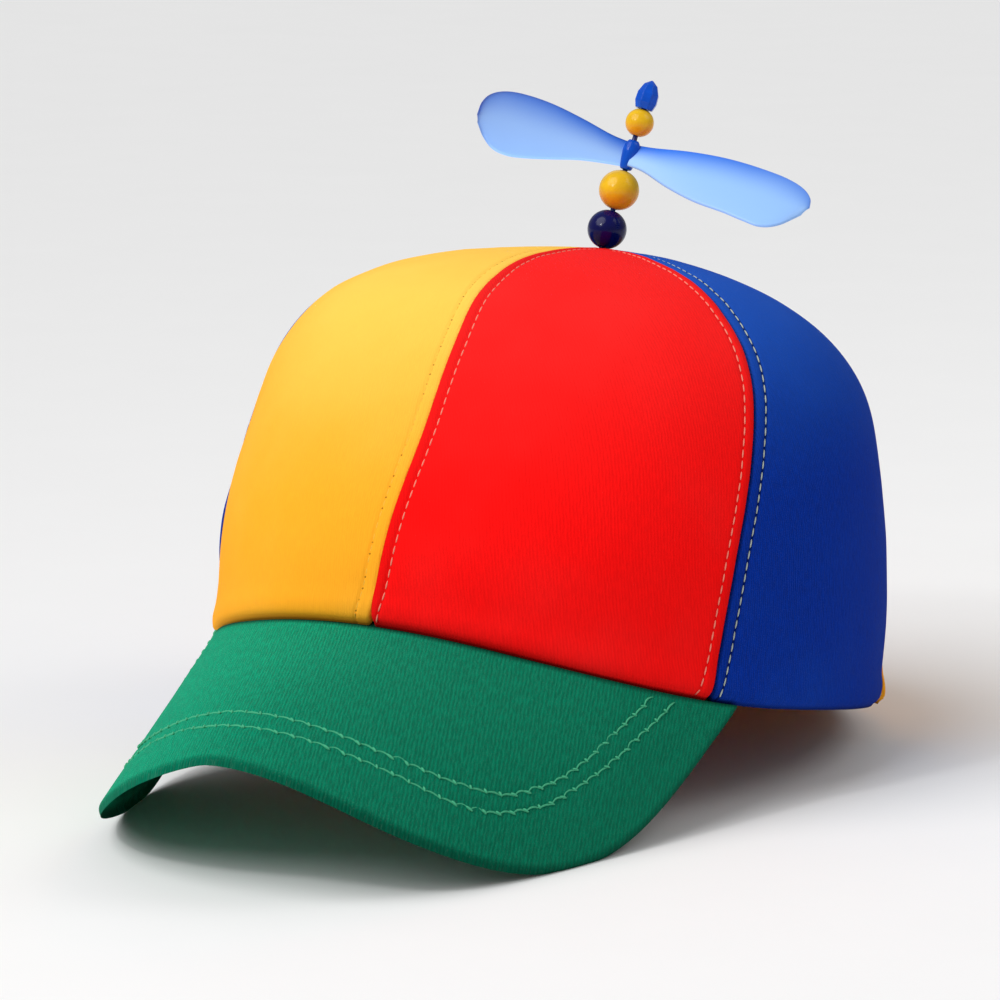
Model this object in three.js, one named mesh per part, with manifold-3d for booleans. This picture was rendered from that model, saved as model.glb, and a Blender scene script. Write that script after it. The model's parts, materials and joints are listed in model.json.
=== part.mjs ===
// A propeller beanie: a six-panel twill cap with a curved peak, and a small propeller that spins on a
// beaded post at its top. Millimetres, +Z up, front of the cap at -Y, the wearer's left at +X.
// The pieces are made in the cap's own frame, with the rim in the plane z = 0. The finished cap is then
// tipped back until it rests on the peak's two corners and the back of the rim.

import * as THREE from "three";
import { mergeVertices } from "three/addons/utils/BufferGeometryUtils.js";
import Module from "manifold-3d";

// Crown
const CROWN_HEIGHT = 116.5; // from the rim to the top of the crown
const SIDE_RADIUS = 87; // half the rim's width
const FRONT_RADIUS = 95.5; // from the middle of the rim to the front
const BACK_RADIUS = 102; // from the middle of the rim to the back
const PANEL_COUNT = 6;
const PANEL_THICKNESS = 1.6; // twill and its backing
const PANEL_BULGE = 1.2; // how far a panel swells between its seams
const SEAM_GAP = 0.3;

// Peak
const PEAK_LENGTH = 77.7; // from the crown to the front edge
const PEAK_THICKNESS = 3.4;
const PEAK_END_THICKNESS = 1.4; // where its two ends run out under the rim
const PEAK_HALF_ANGLE = THREE.MathUtils.degToRad(65.2); // round the crown, from the front seam
const PEAK_SLOPE_MIDDLE = THREE.MathUtils.degToRad(21.1); // downwards, at the front
const PEAK_SLOPE_ENDS = THREE.MathUtils.degToRad(43); // downwards, at its two ends
const PEAK_TURN_IN = THREE.MathUtils.degToRad(10.4); // how far its two ends turn towards the middle
const PEAK_SLOPE_POWER = 1.4; // 1 is an even change from the middle to an end, more comes later
const PEAK_SQUARENESS = 4.6; // 2 is an ellipse, more is squarer
const PEAK_ARCH = 12.8; // how far the crown's edge arches up over the peak
const PEAK_ARCH_MIDDLE = THREE.MathUtils.degToRad(-4.5); // the soft edge arches highest a little to the right
const PEAK_ARCH_HALF_ANGLE = THREE.MathUtils.degToRad(80); // from there to where the edge lies flat

// Post, beads and finial
const POST_RADIUS = 0.7;
const POST_LEAN_BACK = THREE.MathUtils.degToRad(6.7);
const POST_LEAN_LEFT = THREE.MathUtils.degToRad(10);
const POST_DISC_RADIUS = 3.5; // the plain disc that holds the post inside the crown
const POST_DISC_THICKNESS = 1.2;
const NAVY_BEAD_RADIUS = 5.35;
const YELLOW_BEAD_RADIUS = 5.5;
const SMALL_BEAD_RADIUS = 3.9;
const FINIAL_RADIUS = 3.2;
const FINIAL_HEIGHT = 7.9;
const FINIAL_SIDES = 8;
const FINIAL_GRIP = 3.5; // how far the post reaches into the finial
const SPIN_ROOM = 1.15; // bare post between the propeller and the small bead

// Propeller
const HUB_RADIUS = 2.3;
const HUB_HEIGHT = 8.3;
const BLADE_LENGTH = 54; // from the post's axis to a tip
const BLADE_WIDTH = 20.5;
const BLADE_THICKNESS = 1;
const BLADE_CAMBER = 1.2; // how far a blade bows across its width
const BLADE_SWEEP = 6; // how far the soft tips bend towards the back
const LEFT_BLADE_DROOP = 2; // how far the tip on the wearer's left hangs
const PROPELLER_TURN = THREE.MathUtils.degToRad(-2); // as it stands, about the post

const CLEARANCE = 0.3; // between pieces that touch

const POST_DIRECTION = new THREE.Vector3(Math.tan(POST_LEAN_LEFT), Math.tan(POST_LEAN_BACK), 1).normalize();
const POST_TILT = Math.acos(POST_DIRECTION.z);

// Facets
const PANEL_COLUMNS = 8;
const PANEL_ROWS = 14;
const PEAK_COLUMNS = 30;
const PEAK_ROWS = 5;
const ROUND_SIDES = 16;
const BEAD_RINGS = 9;
const BLADE_COLUMNS = 4;
const BLADE_ROWS = 14;

// The crown's shape from rim to top: shares of its height and of its front, side and back radii, how
// far the soft crown leans to the wearer's left and to the back, as shares of those radii, and how far
// its seams twist to the wearer's left, in degrees
const CROWN_STATIONS = [
  { at: 0, rise: 0, front: 1, side: 1, back: 1, left: 0, aft: 0, twist: -1.6 },
  { at: 0.18, rise: 0.296, front: 1.02, side: 1, back: 0.935, left: 0, aft: 0, twist: 1.2 },
  { at: 0.36, rise: 0.545, front: 0.9, side: 0.97, back: 0.845, left: -0.005, aft: 0, twist: 2.8 },
  { at: 0.54, rise: 0.733, front: 0.775, side: 0.905, back: 0.695, left: -0.018, aft: 0.01, twist: 3.2 },
  { at: 0.7, rise: 0.87, front: 0.63, side: 0.735, back: 0.5, left: -0.028, aft: 0.025, twist: 3.4 },
  { at: 0.85, rise: 0.96, front: 0.385, side: 0.44, back: 0.285, left: -0.025, aft: 0.055, twist: 3.4 },
  { at: 1, rise: 1, front: 0, side: 0, back: 0, left: -0.01, aft: 0.11, twist: 3.4 },
  // on over the top
  { at: 1.15, rise: 0.96, front: -0.385, side: -0.44, back: -0.285, left: -0.025, aft: 0.055, twist: 3.4 },
];

// A blade from its root to its tip: share of its full width, and pitch in degrees on the wearer's left
// and right, which are bent a little differently
const BLADE_STATIONS = [
  { at: 0.0, width: 0.34, left: 62, right: 72 },
  { at: 0.12, width: 0.42, left: 60, right: 71 },
  { at: 0.3, width: 0.66, left: 54, right: 68 },
  { at: 0.5, width: 0.89, left: 47, right: 64 },
  { at: 0.68, width: 0.99, left: 42, right: 61 },
  { at: 0.8, width: 0.97, left: 40, right: 58 },
  { at: 0.9, width: 0.8, left: 39, right: 57 },
  { at: 0.965, width: 0.5, left: 38, right: 56 },
  { at: 1.0, width: 0.14, left: 38, right: 56 },
];

const COLOURS = {
  red: 0xe3170f,
  yellow: 0xffbb33,
  blue: 0x06318c,
  green: 0x0b7a55,
  navy: 0x0a0f55,
  amber: 0xf2b21d,
  sky: 0x7fb4f2,
  steelBlue: 0x1d3f8f,
};

const PANELS = [
  { name: "panel_front_left", colour: COLOURS.red },
  { name: "panel_side_left", colour: COLOURS.blue },
  { name: "panel_back_left", colour: COLOURS.yellow },
  { name: "panel_back_right", colour: COLOURS.red },
  { name: "panel_side_right", colour: COLOURS.blue },
  { name: "panel_front_right", colour: COLOURS.yellow },
];

const wasm = await Module();
wasm.setup();

// A smooth curve through one column of a table of stations
function stationValue(stations, column, at) {
  const last = stations.length - 2;
  let i = 0;
  while (i < last && stations[i + 1].at <= at) i++;
  const slope = (k) => {
    const before = stations[Math.max(k - 1, 0)];
    const after = stations[Math.min(k + 1, stations.length - 1)];
    return (after[column] - before[column]) / (after.at - before.at);
  };
  const from = stations[i];
  const to = stations[i + 1];
  const span = to.at - from.at;
  const s = (at - from.at) / span;
  const fromEnd = (1 + 2 * s) * (1 - s) ** 2 * from[column] + s * (1 - s) ** 2 * span * slope(i);
  const toEnd = s * s * (3 - 2 * s) * to[column] + s * s * (s - 1) * span * slope(i + 1);
  return fromEnd + toEnd;
}

// The value between low and high at which a rising function passes zero
function solve(rising, low, high) {
  for (let i = 0; i < 48; i++) {
    const middle = (low + high) / 2;
    if (rising(middle) > 0) high = middle;
    else low = middle;
  }
  return (low + high) / 2;
}

// A point of the crown's outer face: angle round from the front seam at the rim, and share of the way up
function crownPoint(seamAngle, at) {
  const panelAngle = (2 * Math.PI) / PANEL_COUNT;
  const inPanel = THREE.MathUtils.euclideanModulo(seamAngle, panelAngle) / panelAngle;
  const swell = 1 + (PANEL_BULGE / SIDE_RADIUS) * Math.sin(Math.PI * inPanel);
  const angle = seamAngle + THREE.MathUtils.degToRad(stationValue(CROWN_STATIONS, "twist", at));
  const forward = Math.cos(angle);
  const depth =
    forward > 0
      ? FRONT_RADIUS * stationValue(CROWN_STATIONS, "front", at)
      : BACK_RADIUS * stationValue(CROWN_STATIONS, "back", at);
  const width = SIDE_RADIUS * stationValue(CROWN_STATIONS, "side", at);
  const rise = stationValue(CROWN_STATIONS, "rise", at);
  const left = SIDE_RADIUS * stationValue(CROWN_STATIONS, "left", at);
  const aft = BACK_RADIUS * stationValue(CROWN_STATIONS, "aft", at);
  return new THREE.Vector3(
    width * swell * Math.sin(angle) + left,
    -depth * swell * forward + aft,
    CROWN_HEIGHT * rise,
  );
}

function crownNormal(angle, at) {
  const step = 1e-3;
  const round = crownPoint(angle + step, at).sub(crownPoint(angle - step, at));
  const up = crownPoint(angle, at + step).sub(crownPoint(angle, at - step));
  return round.cross(up).normalize();
}

// How high the crown's lower edge stands over the rim's plane
function hemHeight(angle) {
  const share = Math.min(Math.abs(angle - PEAK_ARCH_MIDDLE) / PEAK_ARCH_HALF_ANGLE, 1);
  return (PEAK_ARCH * (1 + Math.cos(Math.PI * share))) / 2;
}

// The share of the way up at which the crown's lower edge lies
function hemAt(angle) {
  const signed = angle > Math.PI ? angle - 2 * Math.PI : angle;
  const height = hemHeight(signed);
  if (height < 1e-6) return 0;
  return solve((at) => CROWN_HEIGHT * stationValue(CROWN_STATIONS, "rise", at) - height, 0, 0.6);
}

// A closed wall between two grids of points that have the same rows and columns
function sheetSolid(outer, inner) {
  const rows = outer.length;
  const columns = outer[0].length;
  const index = [];
  const at = (face, row, column) => (face * rows + row) * columns + column;
  const quad = (a, b, c, d) => index.push(a, b, c, a, c, d);
  for (let r = 0; r + 1 < rows; r++) {
    for (let c = 0; c + 1 < columns; c++) {
      quad(at(0, r, c), at(0, r, c + 1), at(0, r + 1, c + 1), at(0, r + 1, c));
      quad(at(1, r, c), at(1, r + 1, c), at(1, r + 1, c + 1), at(1, r, c + 1));
    }
    quad(at(0, r, 0), at(0, r + 1, 0), at(1, r + 1, 0), at(1, r, 0));
    quad(
      at(0, r + 1, columns - 1),
      at(0, r, columns - 1),
      at(1, r, columns - 1),
      at(1, r + 1, columns - 1),
    );
  }
  for (let c = 0; c + 1 < columns; c++) {
    quad(at(0, 0, c + 1), at(0, 0, c), at(1, 0, c), at(1, 0, c + 1));
    quad(at(0, rows - 1, c), at(0, rows - 1, c + 1), at(1, rows - 1, c + 1), at(1, rows - 1, c));
  }
  const geometry = new THREE.BufferGeometry();
  geometry.setFromPoints([...outer.flat(), ...inner.flat()]);
  geometry.setIndex(index);
  return geometry;
}

// A round solid about +Z from [radius, height] pairs that end on the axis or close on themselves
function turned(pairs, sides = ROUND_SIDES) {
  const profile = pairs.map(([radius, height]) => new THREE.Vector2(radius, height));
  return new THREE.LatheGeometry(profile, sides).rotateX(Math.PI / 2);
}

function asManifold(geometry) {
  const bare = geometry.clone();
  bare.deleteAttribute("normal");
  bare.deleteAttribute("uv");
  const merged = mergeVertices(bare, 1e-4);
  const triVerts = new Uint32Array(merged.index.array);
  const vertProperties = merged.attributes.position.array;
  return new wasm.Manifold(new wasm.Mesh({ numProp: 3, vertProperties, triVerts }));
}

function asGeometry(manifold) {
  const mesh = manifold.getMesh();
  const geometry = new THREE.BufferGeometry();
  geometry.setAttribute("position", new THREE.BufferAttribute(mesh.vertProperties, 3));
  geometry.setIndex(new THREE.BufferAttribute(mesh.triVerts, 1));
  return geometry;
}

function piece(name, geometry, colour, roughness, metalness = 0) {
  geometry.computeVertexNormals();
  const material = new THREE.MeshStandardMaterial({ color: colour, roughness, metalness });
  const mesh = new THREE.Mesh(geometry, material);
  mesh.name = name;
  return mesh;
}

// One of the crown's panels, from seam to seam and from the hem to the post's hole
function panel(number, { name, colour }) {
  const panelAngle = (2 * Math.PI) / PANEL_COUNT;
  const holeRadius = POST_RADIUS + CLEARANCE + 2 * PANEL_THICKNESS * Math.tan(POST_TILT);
  const topOf = (at) => holeRadius - SIDE_RADIUS * stationValue(CROWN_STATIONS, "side", at);
  const topAt = solve(topOf, 0.85, 1);
  const outer = [];
  const inner = [];
  for (let r = 0; r <= PANEL_ROWS; r++) {
    outer.push([]);
    inner.push([]);
    for (let c = 0; c <= PANEL_COLUMNS; c++) {
      const plain = (number + c / PANEL_COLUMNS) * panelAngle;
      const low = hemAt(plain);
      const at = low + ((topAt - low) * r) / PANEL_ROWS;
      const local = SIDE_RADIUS * stationValue(CROWN_STATIONS, "side", at);
      const inset = SEAM_GAP / 2 / local;
      const angle = number * panelAngle + inset + ((panelAngle - 2 * inset) * c) / PANEL_COLUMNS;
      const point = crownPoint(angle, at);
      outer[r].push(point);
      inner[r].push(point.clone().addScaledVector(crownNormal(angle, at), -PANEL_THICKNESS));
    }
  }
  return piece(name, sheetSolid(outer, inner), colour, 0.85);
}

// The peak springs from under the crown's arched edge: its root is as deep as the crown's wall, and
// straight lines run down from there to its outer edge
function peak() {
  const top = [];
  const underside = [];
  for (let r = PEAK_ROWS; r >= -1; r--) {
    const topRow = [];
    const undersideRow = [];
    for (let c = 0; c <= PEAK_COLUMNS; c++) {
      const across = Math.sin((Math.PI / 2) * ((2 * c) / PEAK_COLUMNS - 1));
      const angle = across * PEAK_HALF_ANGLE;
      const step = 1e-3;
      const hemPoint = (a) => crownPoint(a, hemAt(a));
      const along = hemPoint(angle + step).sub(hemPoint(angle - step)).normalize();
      const outwards = Math.abs(across) ** PEAK_SLOPE_POWER;
      const slope = PEAK_SLOPE_MIDDLE + (PEAK_SLOPE_ENDS - PEAK_SLOPE_MIDDLE) * outwards;
      const turn = -PEAK_TURN_IN * across;
      const forward = new THREE.Vector3(
        Math.sin(turn) * Math.cos(slope),
        -Math.cos(turn) * Math.cos(slope),
        -Math.sin(slope),
      );
      const up = forward.clone().cross(along).normalize();
      if (up.z < 0) up.negate();
      const reach = PEAK_LENGTH * (1 - Math.abs(across) ** PEAK_SQUARENESS) ** (1 / PEAK_SQUARENESS);
      const root = hemPoint(angle);
      root.z -= CLEARANCE;
      if (r < 0) root.addScaledVector(crownNormal(angle, hemAt(angle)), -PANEL_THICKNESS);
      else root.addScaledVector(forward, (reach * r) / PEAK_ROWS);
      const thin = Math.abs(across) ** 12;
      const thickness = PEAK_THICKNESS + (PEAK_END_THICKNESS - PEAK_THICKNESS) * thin;
      topRow.push(root);
      undersideRow.push(root.clone().addScaledVector(up, -thickness));
    }
    top.push(topRow);
    underside.push(undersideRow);
  }
  return piece("peak", sheetSolid(top, underside), COLOURS.green, 0.85);
}

// Heights on the post, from the top of the crown
const NAVY_BEAD_HEIGHT = CLEARANCE + NAVY_BEAD_RADIUS;
const YELLOW_BEAD_HEIGHT = NAVY_BEAD_HEIGHT + NAVY_BEAD_RADIUS + CLEARANCE + YELLOW_BEAD_RADIUS;
const HUB_FOOT = YELLOW_BEAD_HEIGHT + YELLOW_BEAD_RADIUS + CLEARANCE;
const SMALL_BEAD_HEIGHT = HUB_FOOT + HUB_HEIGHT + SPIN_ROOM + SMALL_BEAD_RADIUS;
const FINIAL_FOOT = SMALL_BEAD_HEIGHT + SMALL_BEAD_RADIUS + CLEARANCE;
const BORE_RADIUS = POST_RADIUS + CLEARANCE;

function post() {
  const underPanels = -(PANEL_THICKNESS + 2 * CLEARANCE) / Math.cos(POST_TILT);
  const discTop = underPanels - POST_DISC_RADIUS * Math.tan(POST_TILT);
  const discFoot = discTop - POST_DISC_THICKNESS;
  const top = FINIAL_FOOT + FINIAL_GRIP;
  const geometry = turned([
    [0, discFoot],
    [POST_DISC_RADIUS, discFoot],
    [POST_DISC_RADIUS, discTop],
    [POST_RADIUS, discTop],
    [POST_RADIUS, top],
    [0, top],
  ]);
  return piece("post", geometry, COLOURS.steelBlue, 0.45, 0.4);
}

function bead(name, radius, height, colour) {
  const start = Math.asin(BORE_RADIUS / radius);
  const pairs = [];
  for (let i = 0; i <= BEAD_RINGS; i++) {
    const angle = start + ((Math.PI - 2 * start) * i) / BEAD_RINGS;
    pairs.push([radius * Math.sin(angle), height - radius * Math.cos(angle)]);
  }
  pairs.push(pairs[0]);
  return piece(name, turned(pairs), colour, 0.12);
}

// The foot is hollowed a little, so that it sits over the small bead
function finial() {
  const footRadius = 0.78 * FINIAL_RADIUS;
  const beadDrop = SMALL_BEAD_RADIUS - Math.sqrt(Math.max(SMALL_BEAD_RADIUS ** 2 - footRadius ** 2, 0));
  const geometry = turned(
    [
      [0, FINIAL_GRIP + CLEARANCE],
      [BORE_RADIUS, FINIAL_GRIP + CLEARANCE],
      [BORE_RADIUS, 0],
      [footRadius, -beadDrop / 2],
      [FINIAL_RADIUS, 0.2 * FINIAL_HEIGHT],
      [0.97 * FINIAL_RADIUS, 0.5 * FINIAL_HEIGHT],
      [0.62 * FINIAL_RADIUS, 0.82 * FINIAL_HEIGHT],
      [0, FINIAL_HEIGHT],
    ],
    FINIAL_SIDES,
  ).translate(0, 0, FINIAL_FOOT);
  return piece("finial", geometry, COLOURS.steelBlue, 0.12);
}

// One blade, pitched and bowed, with its root inside the hub's wall; side is 1 to the wearer's left
function blade(side) {
  const rootAt = THREE.MathUtils.lerp(BORE_RADIUS, HUB_RADIUS, 0.25) / BLADE_LENGTH;
  const faces = [[], []];
  for (let r = 0; r <= BLADE_ROWS; r++) {
    const at = rootAt + (1 - rootAt) * Math.sin((Math.PI / 2) * (r / BLADE_ROWS));
    const width = BLADE_WIDTH * stationValue(BLADE_STATIONS, "width", at);
    const pitchColumn = side > 0 ? "left" : "right";
    const pitch = THREE.MathUtils.degToRad(stationValue(BLADE_STATIONS, pitchColumn, at));
    const chord = new THREE.Vector3(0, side * Math.cos(pitch), Math.sin(pitch));
    const out = new THREE.Vector3(0, -side * Math.sin(pitch), Math.cos(pitch));
    const droop = side > 0 ? LEFT_BLADE_DROOP : 0;
    const middle = new THREE.Vector3(side * BLADE_LENGTH * at, BLADE_SWEEP * at * at, -droop * at * at);
    const rows = [[], []];
    for (let c = 0; c <= BLADE_COLUMNS; c++) {
      const across = c / BLADE_COLUMNS - 0.5;
      const bow = BLADE_CAMBER * (width / BLADE_WIDTH) * (1 - 4 * across * across);
      const point = middle.clone().addScaledVector(chord, across * width).addScaledVector(out, bow);
      rows[0].push(point.clone().addScaledVector(out, BLADE_THICKNESS / 2));
      rows[1].push(point.clone().addScaledVector(out, -BLADE_THICKNESS / 2));
    }
    faces[0].push(rows[0]);
    faces[1].push(rows[1]);
  }
  return sheetSolid(faces[1], faces[0]);
}

// Hub and two blades, one moulding, bored for the post
function propeller() {
  const half = HUB_HEIGHT / 2;
  const hub = turned([
    [0, -half],
    [0.72 * HUB_RADIUS, -half],
    [0.85 * HUB_RADIUS, -0.7 * half],
    [HUB_RADIUS, 0.3 * half],
    [0.88 * HUB_RADIUS, 0.7 * half],
    [0.62 * HUB_RADIUS, half],
    [0, half],
  ]);
  const bore = turned([
    [0, -HUB_HEIGHT],
    [BORE_RADIUS, -HUB_HEIGHT],
    [BORE_RADIUS, HUB_HEIGHT],
    [0, HUB_HEIGHT],
  ]);
  const moulding = asManifold(hub)
    .add(asManifold(blade(1)))
    .add(asManifold(blade(-1)))
    .subtract(asManifold(bore));
  const geometry = asGeometry(moulding).rotateZ(PROPELLER_TURN).translate(0, 0, HUB_FOOT + half);
  return piece("propeller", geometry, COLOURS.sky, 0.3);
}

// Everything on the post, standing on the crown's top and leaning with the post
function topStack() {
  const stack = new THREE.Group();
  stack.add(
    post(),
    bead("bead_navy", NAVY_BEAD_RADIUS, NAVY_BEAD_HEIGHT, COLOURS.navy),
    bead("bead_yellow_large", YELLOW_BEAD_RADIUS, YELLOW_BEAD_HEIGHT, COLOURS.amber),
    propeller(),
    bead("bead_yellow_small", SMALL_BEAD_RADIUS, SMALL_BEAD_HEIGHT, COLOURS.amber),
    finial(),
  );
  stack.position.copy(crownPoint(0, 1));
  stack.quaternion.setFromUnitVectors(new THREE.Vector3(0, 0, 1), POST_DIRECTION);
  return stack;
}

// The cap tipped back until the peak and the rim reach equally low
function atRest(cap) {
  const lowest = (names) => {
    cap.updateMatrixWorld(true);
    const box = new THREE.Box3();
    cap.traverse((o) => {
      if (o.isMesh && names(o.name)) box.union(new THREE.Box3().setFromObject(o, true));
    });
    return box;
  };
  const peakOverRim = (tilt) => {
    cap.rotation.x = -tilt;
    return lowest((n) => n === "peak").min.z - lowest((n) => n.startsWith("panel")).min.z;
  };
  cap.rotation.x = -solve(peakOverRim, 0, Math.PI / 4);
  const box = lowest(() => true);
  cap.position.set(-(box.min.x + box.max.x) / 2, -(box.min.y + box.max.y) / 2, -box.min.z);
  const whole = new THREE.Group();
  whole.add(cap);
  return whole;
}

const cap = new THREE.Group();
PANELS.forEach((row, number) => cap.add(panel(number, row)));
cap.add(peak(), topStack());

export default atRest(cap);
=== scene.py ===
"""Propeller beanie: the cloth, stitching, beads and propeller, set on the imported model's frame.

Lengths are metres. The cap is first laid out upright, with its rim in the plane z = 0, its front
towards -Y and the wearer's left towards +X. CAP_PLACE then sets it down as it rests on the floor.
"""
import bisect
import json
import math
from itertools import accumulate

import bmesh
import bpy
from bpy.props import FloatProperty, FloatVectorProperty, PointerProperty
from mathutils import Matrix, Quaternion, Vector, noise
from mathutils.kdtree import KDTree


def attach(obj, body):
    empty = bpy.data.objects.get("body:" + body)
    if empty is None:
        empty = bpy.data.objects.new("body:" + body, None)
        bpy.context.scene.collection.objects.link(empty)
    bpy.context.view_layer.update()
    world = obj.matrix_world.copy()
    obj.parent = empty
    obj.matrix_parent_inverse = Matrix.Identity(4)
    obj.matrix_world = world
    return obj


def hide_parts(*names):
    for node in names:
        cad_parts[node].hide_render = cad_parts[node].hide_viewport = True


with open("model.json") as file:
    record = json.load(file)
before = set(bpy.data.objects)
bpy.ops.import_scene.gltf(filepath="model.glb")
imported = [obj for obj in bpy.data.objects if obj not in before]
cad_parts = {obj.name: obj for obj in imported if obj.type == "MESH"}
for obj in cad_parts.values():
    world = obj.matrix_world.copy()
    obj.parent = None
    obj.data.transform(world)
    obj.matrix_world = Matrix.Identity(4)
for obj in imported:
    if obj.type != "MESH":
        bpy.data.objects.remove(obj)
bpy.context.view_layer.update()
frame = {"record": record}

bl_info = {
    "name": "Propeller Beanie",
    "version": (1, 0, 0),
    "blender": (4, 5, 0),
    "location": "View3D > Sidebar > Beanie",
    "description": "Builds the cloth, stitching, beads and propeller of a panelled beanie",
    "category": "Add Mesh",
}

# The crown, as in the model's source: sizes, and shares of them at stations from the hem to the top
CROWN_HEIGHT = 0.1165
SIDE_RADIUS = 0.087
FRONT_RADIUS = 0.0955
BACK_RADIUS = 0.102
PANEL_BULGE = 0.0012
PANEL_ANGLE = math.pi / 3
CROWN_STATIONS = {
    "at": (0, 0.18, 0.36, 0.54, 0.7, 0.85, 1, 1.15),
    "rise": (0, 0.296, 0.545, 0.733, 0.87, 0.96, 1, 0.96),
    "front": (1, 1.02, 0.9, 0.775, 0.63, 0.385, 0, -0.385),
    "side": (1, 1, 0.97, 0.905, 0.735, 0.44, 0, -0.44),
    "back": (1, 0.935, 0.845, 0.695, 0.5, 0.285, 0, -0.285),
    "left": (0, 0, -0.005, -0.018, -0.028, -0.025, -0.01, -0.025),
    "aft": (0, 0, 0, 0.01, 0.025, 0.055, 0.11, 0.055),
    "twist": (-1.6, 1.2, 2.8, 3.2, 3.4, 3.4, 3.4, 3.4),
}
TOP_HOLE_RADIUS = 0.0017
SEAM_GAP = 0.00005
CORNER_RADIUS = 0.0016
HEM_CLIMB = 0.19
HEM_BUNCHING = 1.25

# The panels in order round the crown, from the front seam towards the wearer's left
PANELS = (
    ("front_left", "red"),
    ("side_left", "blue"),
    ("back_left", "yellow"),
    ("back_right", "red"),
    ("side_right", "blue"),
    ("front_right", "yellow"),
)
# How far the folded edge of each panel stands up beside its seams, as a share of the seam ridge
RIDGE_SHARES = (0.8, 0.6, 0.1, 0.5, 0.0, 0.0)
# How deep the cloth dips into each seam, from the front seam round, as a share of the seam depth
DIP_SHARES = (0.3, 1.0, 0.6, 0.6, 0.6, 0.5)
# Places where an edge stands proud, or in: panel, seam (0 or 1), share of the way up, spread and height
PROUD_EDGES = (
    (2, 0, 0.0, 0.05, 0.0016),
    (4, 1, 0.17, 0.07, 0.0012),
    (4, 1, 0.66, 0.24, -0.0008),
    (5, 0, 0.02, 0.07, 0.0013),
)
PROUD_PLACE = 0.001
PROUD_WIDTH = 0.006

# The sheet that each panel is shaped from: the share of its columns that lie close beside its seams, how
# far these reach, and how fast the others spread
PANEL_COLUMNS = 76
PANEL_ROWS = 104
FINE_COLUMNS = 0.6
FINE_REACH = 0.0066
COLUMN_SPREAD = 1.3
# Half a panel's width at the hem, and a panel's length from the hem to the top
HEM_HALF_WIDTH = 0.048
PANEL_LENGTH = 0.155

# The relief of the sewn cloth: places and widths are measured from a seam, a row of stitches or the hem
RIDGE_PLACE = 0.0019
RIDGE_WIDTH = 0.0011
DIP_WIDTH = 0.00045
GROOVE_WIDTH = 0.0006
PUCKER_HEIGHT = 0.00016
PUCKER_WIDTH = 0.0045
PUCKER_SCALE = 170
WAVE_SCALE = 24
WAVE_FADE = 0.012
RIPPLE_HEIGHT = 0.00012
RIPPLE_SCALE = 75
HEM_ROLL_HEIGHT = 0.0005
HEM_ROLL_PLACE = 0.0048
HEM_ROLL_WIDTH = 0.0030
HEM_DIP = 0.0018
HEM_DIP_WIDTH = 0.0013

# The rows of topstitching, in shares of the way up: how far above the hem they start, and stray
ROW_START = 0.006
ROW_DRIFT_REACH = 0.035
ROW_STEPS = 150
# The topstitches' lift from the cloth, in widths of the thread: the yellow ones sink in
STITCH_LIFTS = {"red": 0.12, "blue": 0.12, "yellow": -0.3}

# The tapes inside: their ends in shares of the way up, and how they clear the cloth
TAPE_START = 0.012
TAPE_END = 0.93
TAPE_TAPER = 1.4
TAPE_THICKNESS = 0.0004
TAPE_CLEARANCE = 0.00015
TAPE_DIP = 0.0016
TAPE_DIP_WIDTH = 0.0022

# Marks of the stitching in the cloth's colour, with painted shadow along the rows and under the hem, and
# darker bands beside the seams: how far from their line they end, and where they are full
FURROW_SHADOW_EDGES = (0.0008, 0.0001)
SEAM_DARK_EDGES = (0.0006, 0.0001)
HEM_SHADOW_EDGES = (0.0013, 0.0002)
HEM_SHADOW = 0.6
HOLE_EDGES = (0.00038, 0.00014)

# The peak
PEAK_LENGTH = 0.0777
PEAK_THICKNESS = 0.0034
PEAK_HALF_ANGLE = math.radians(65.2)
PEAK_SLOPE_MIDDLE = math.radians(21.1)
PEAK_SLOPE_ENDS = math.radians(43)
PEAK_SLOPE_POWER = 1.4
PEAK_TURN_IN = math.radians(10.4)
PEAK_SQUARENESS = 4.6
PEAK_EDGE_SQUARENESS = 4
PEAK_ARCH = 0.0128
PEAK_ARCH_MIDDLE = math.radians(-4.5)
PEAK_ARCH_HALF_ANGLE = math.radians(80)
PEAK_ROOT_DROP = 0.0003
# Where the peak sags: how far, at which share of its half width, how wide, and how late along it
PEAK_SAGS = ((0.0060, -0.5, 0.32, 2), (0.0034, -0.12, 0.27, 5))
# The peak's edge is cut plumb: its under side reaches further out
RIM_FLARE = 0.0022
RIM_FLARE_REACH = 0.005
# How the peak goes on behind the hem, row by row: how far inwards, and how far up
PEAK_TUCK = ((0.0036, 0.0018), (0.0019, 0.0))
PEAK_COLUMNS = 132
PEAK_ROWS = 78
# The peak's cloth rises a little towards the hem, sinks in along its stitches and lies in slow waves
PEAK_ROOT_RISE = 0.0004
PEAK_ROOT_RISE_REACH = 0.003
PEAK_GROOVE = 0.0004
PEAK_GROOVE_WIDTH = 0.0008
PEAK_WAVE_HEIGHT = 0.0003
PEAK_WAVE_SCALE = 30
# The radius of the hem above the peak, for the weave's map
PEAK_HEM_RADIUS = 0.092
# How far in from the rim, as a share of its round edge, the under side's painted shade starts: a darker
# copy of the cloth
UNDER_SHADE_START = 0.6
# Painted shade on the peak's cloth: shadow under the hem, and shade towards the wearer's left and round its
# edge
HEM_SHADE = 0.9
HEM_SHADE_REACH = 0.0014
LEFT_SHADE = 0.5
LEFT_SHADE_START = -0.02
LEFT_SHADE_SPREAD = 0.14
RIM_SHADE = 0.55
RIM_SHADE_POWER = 1.5
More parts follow.
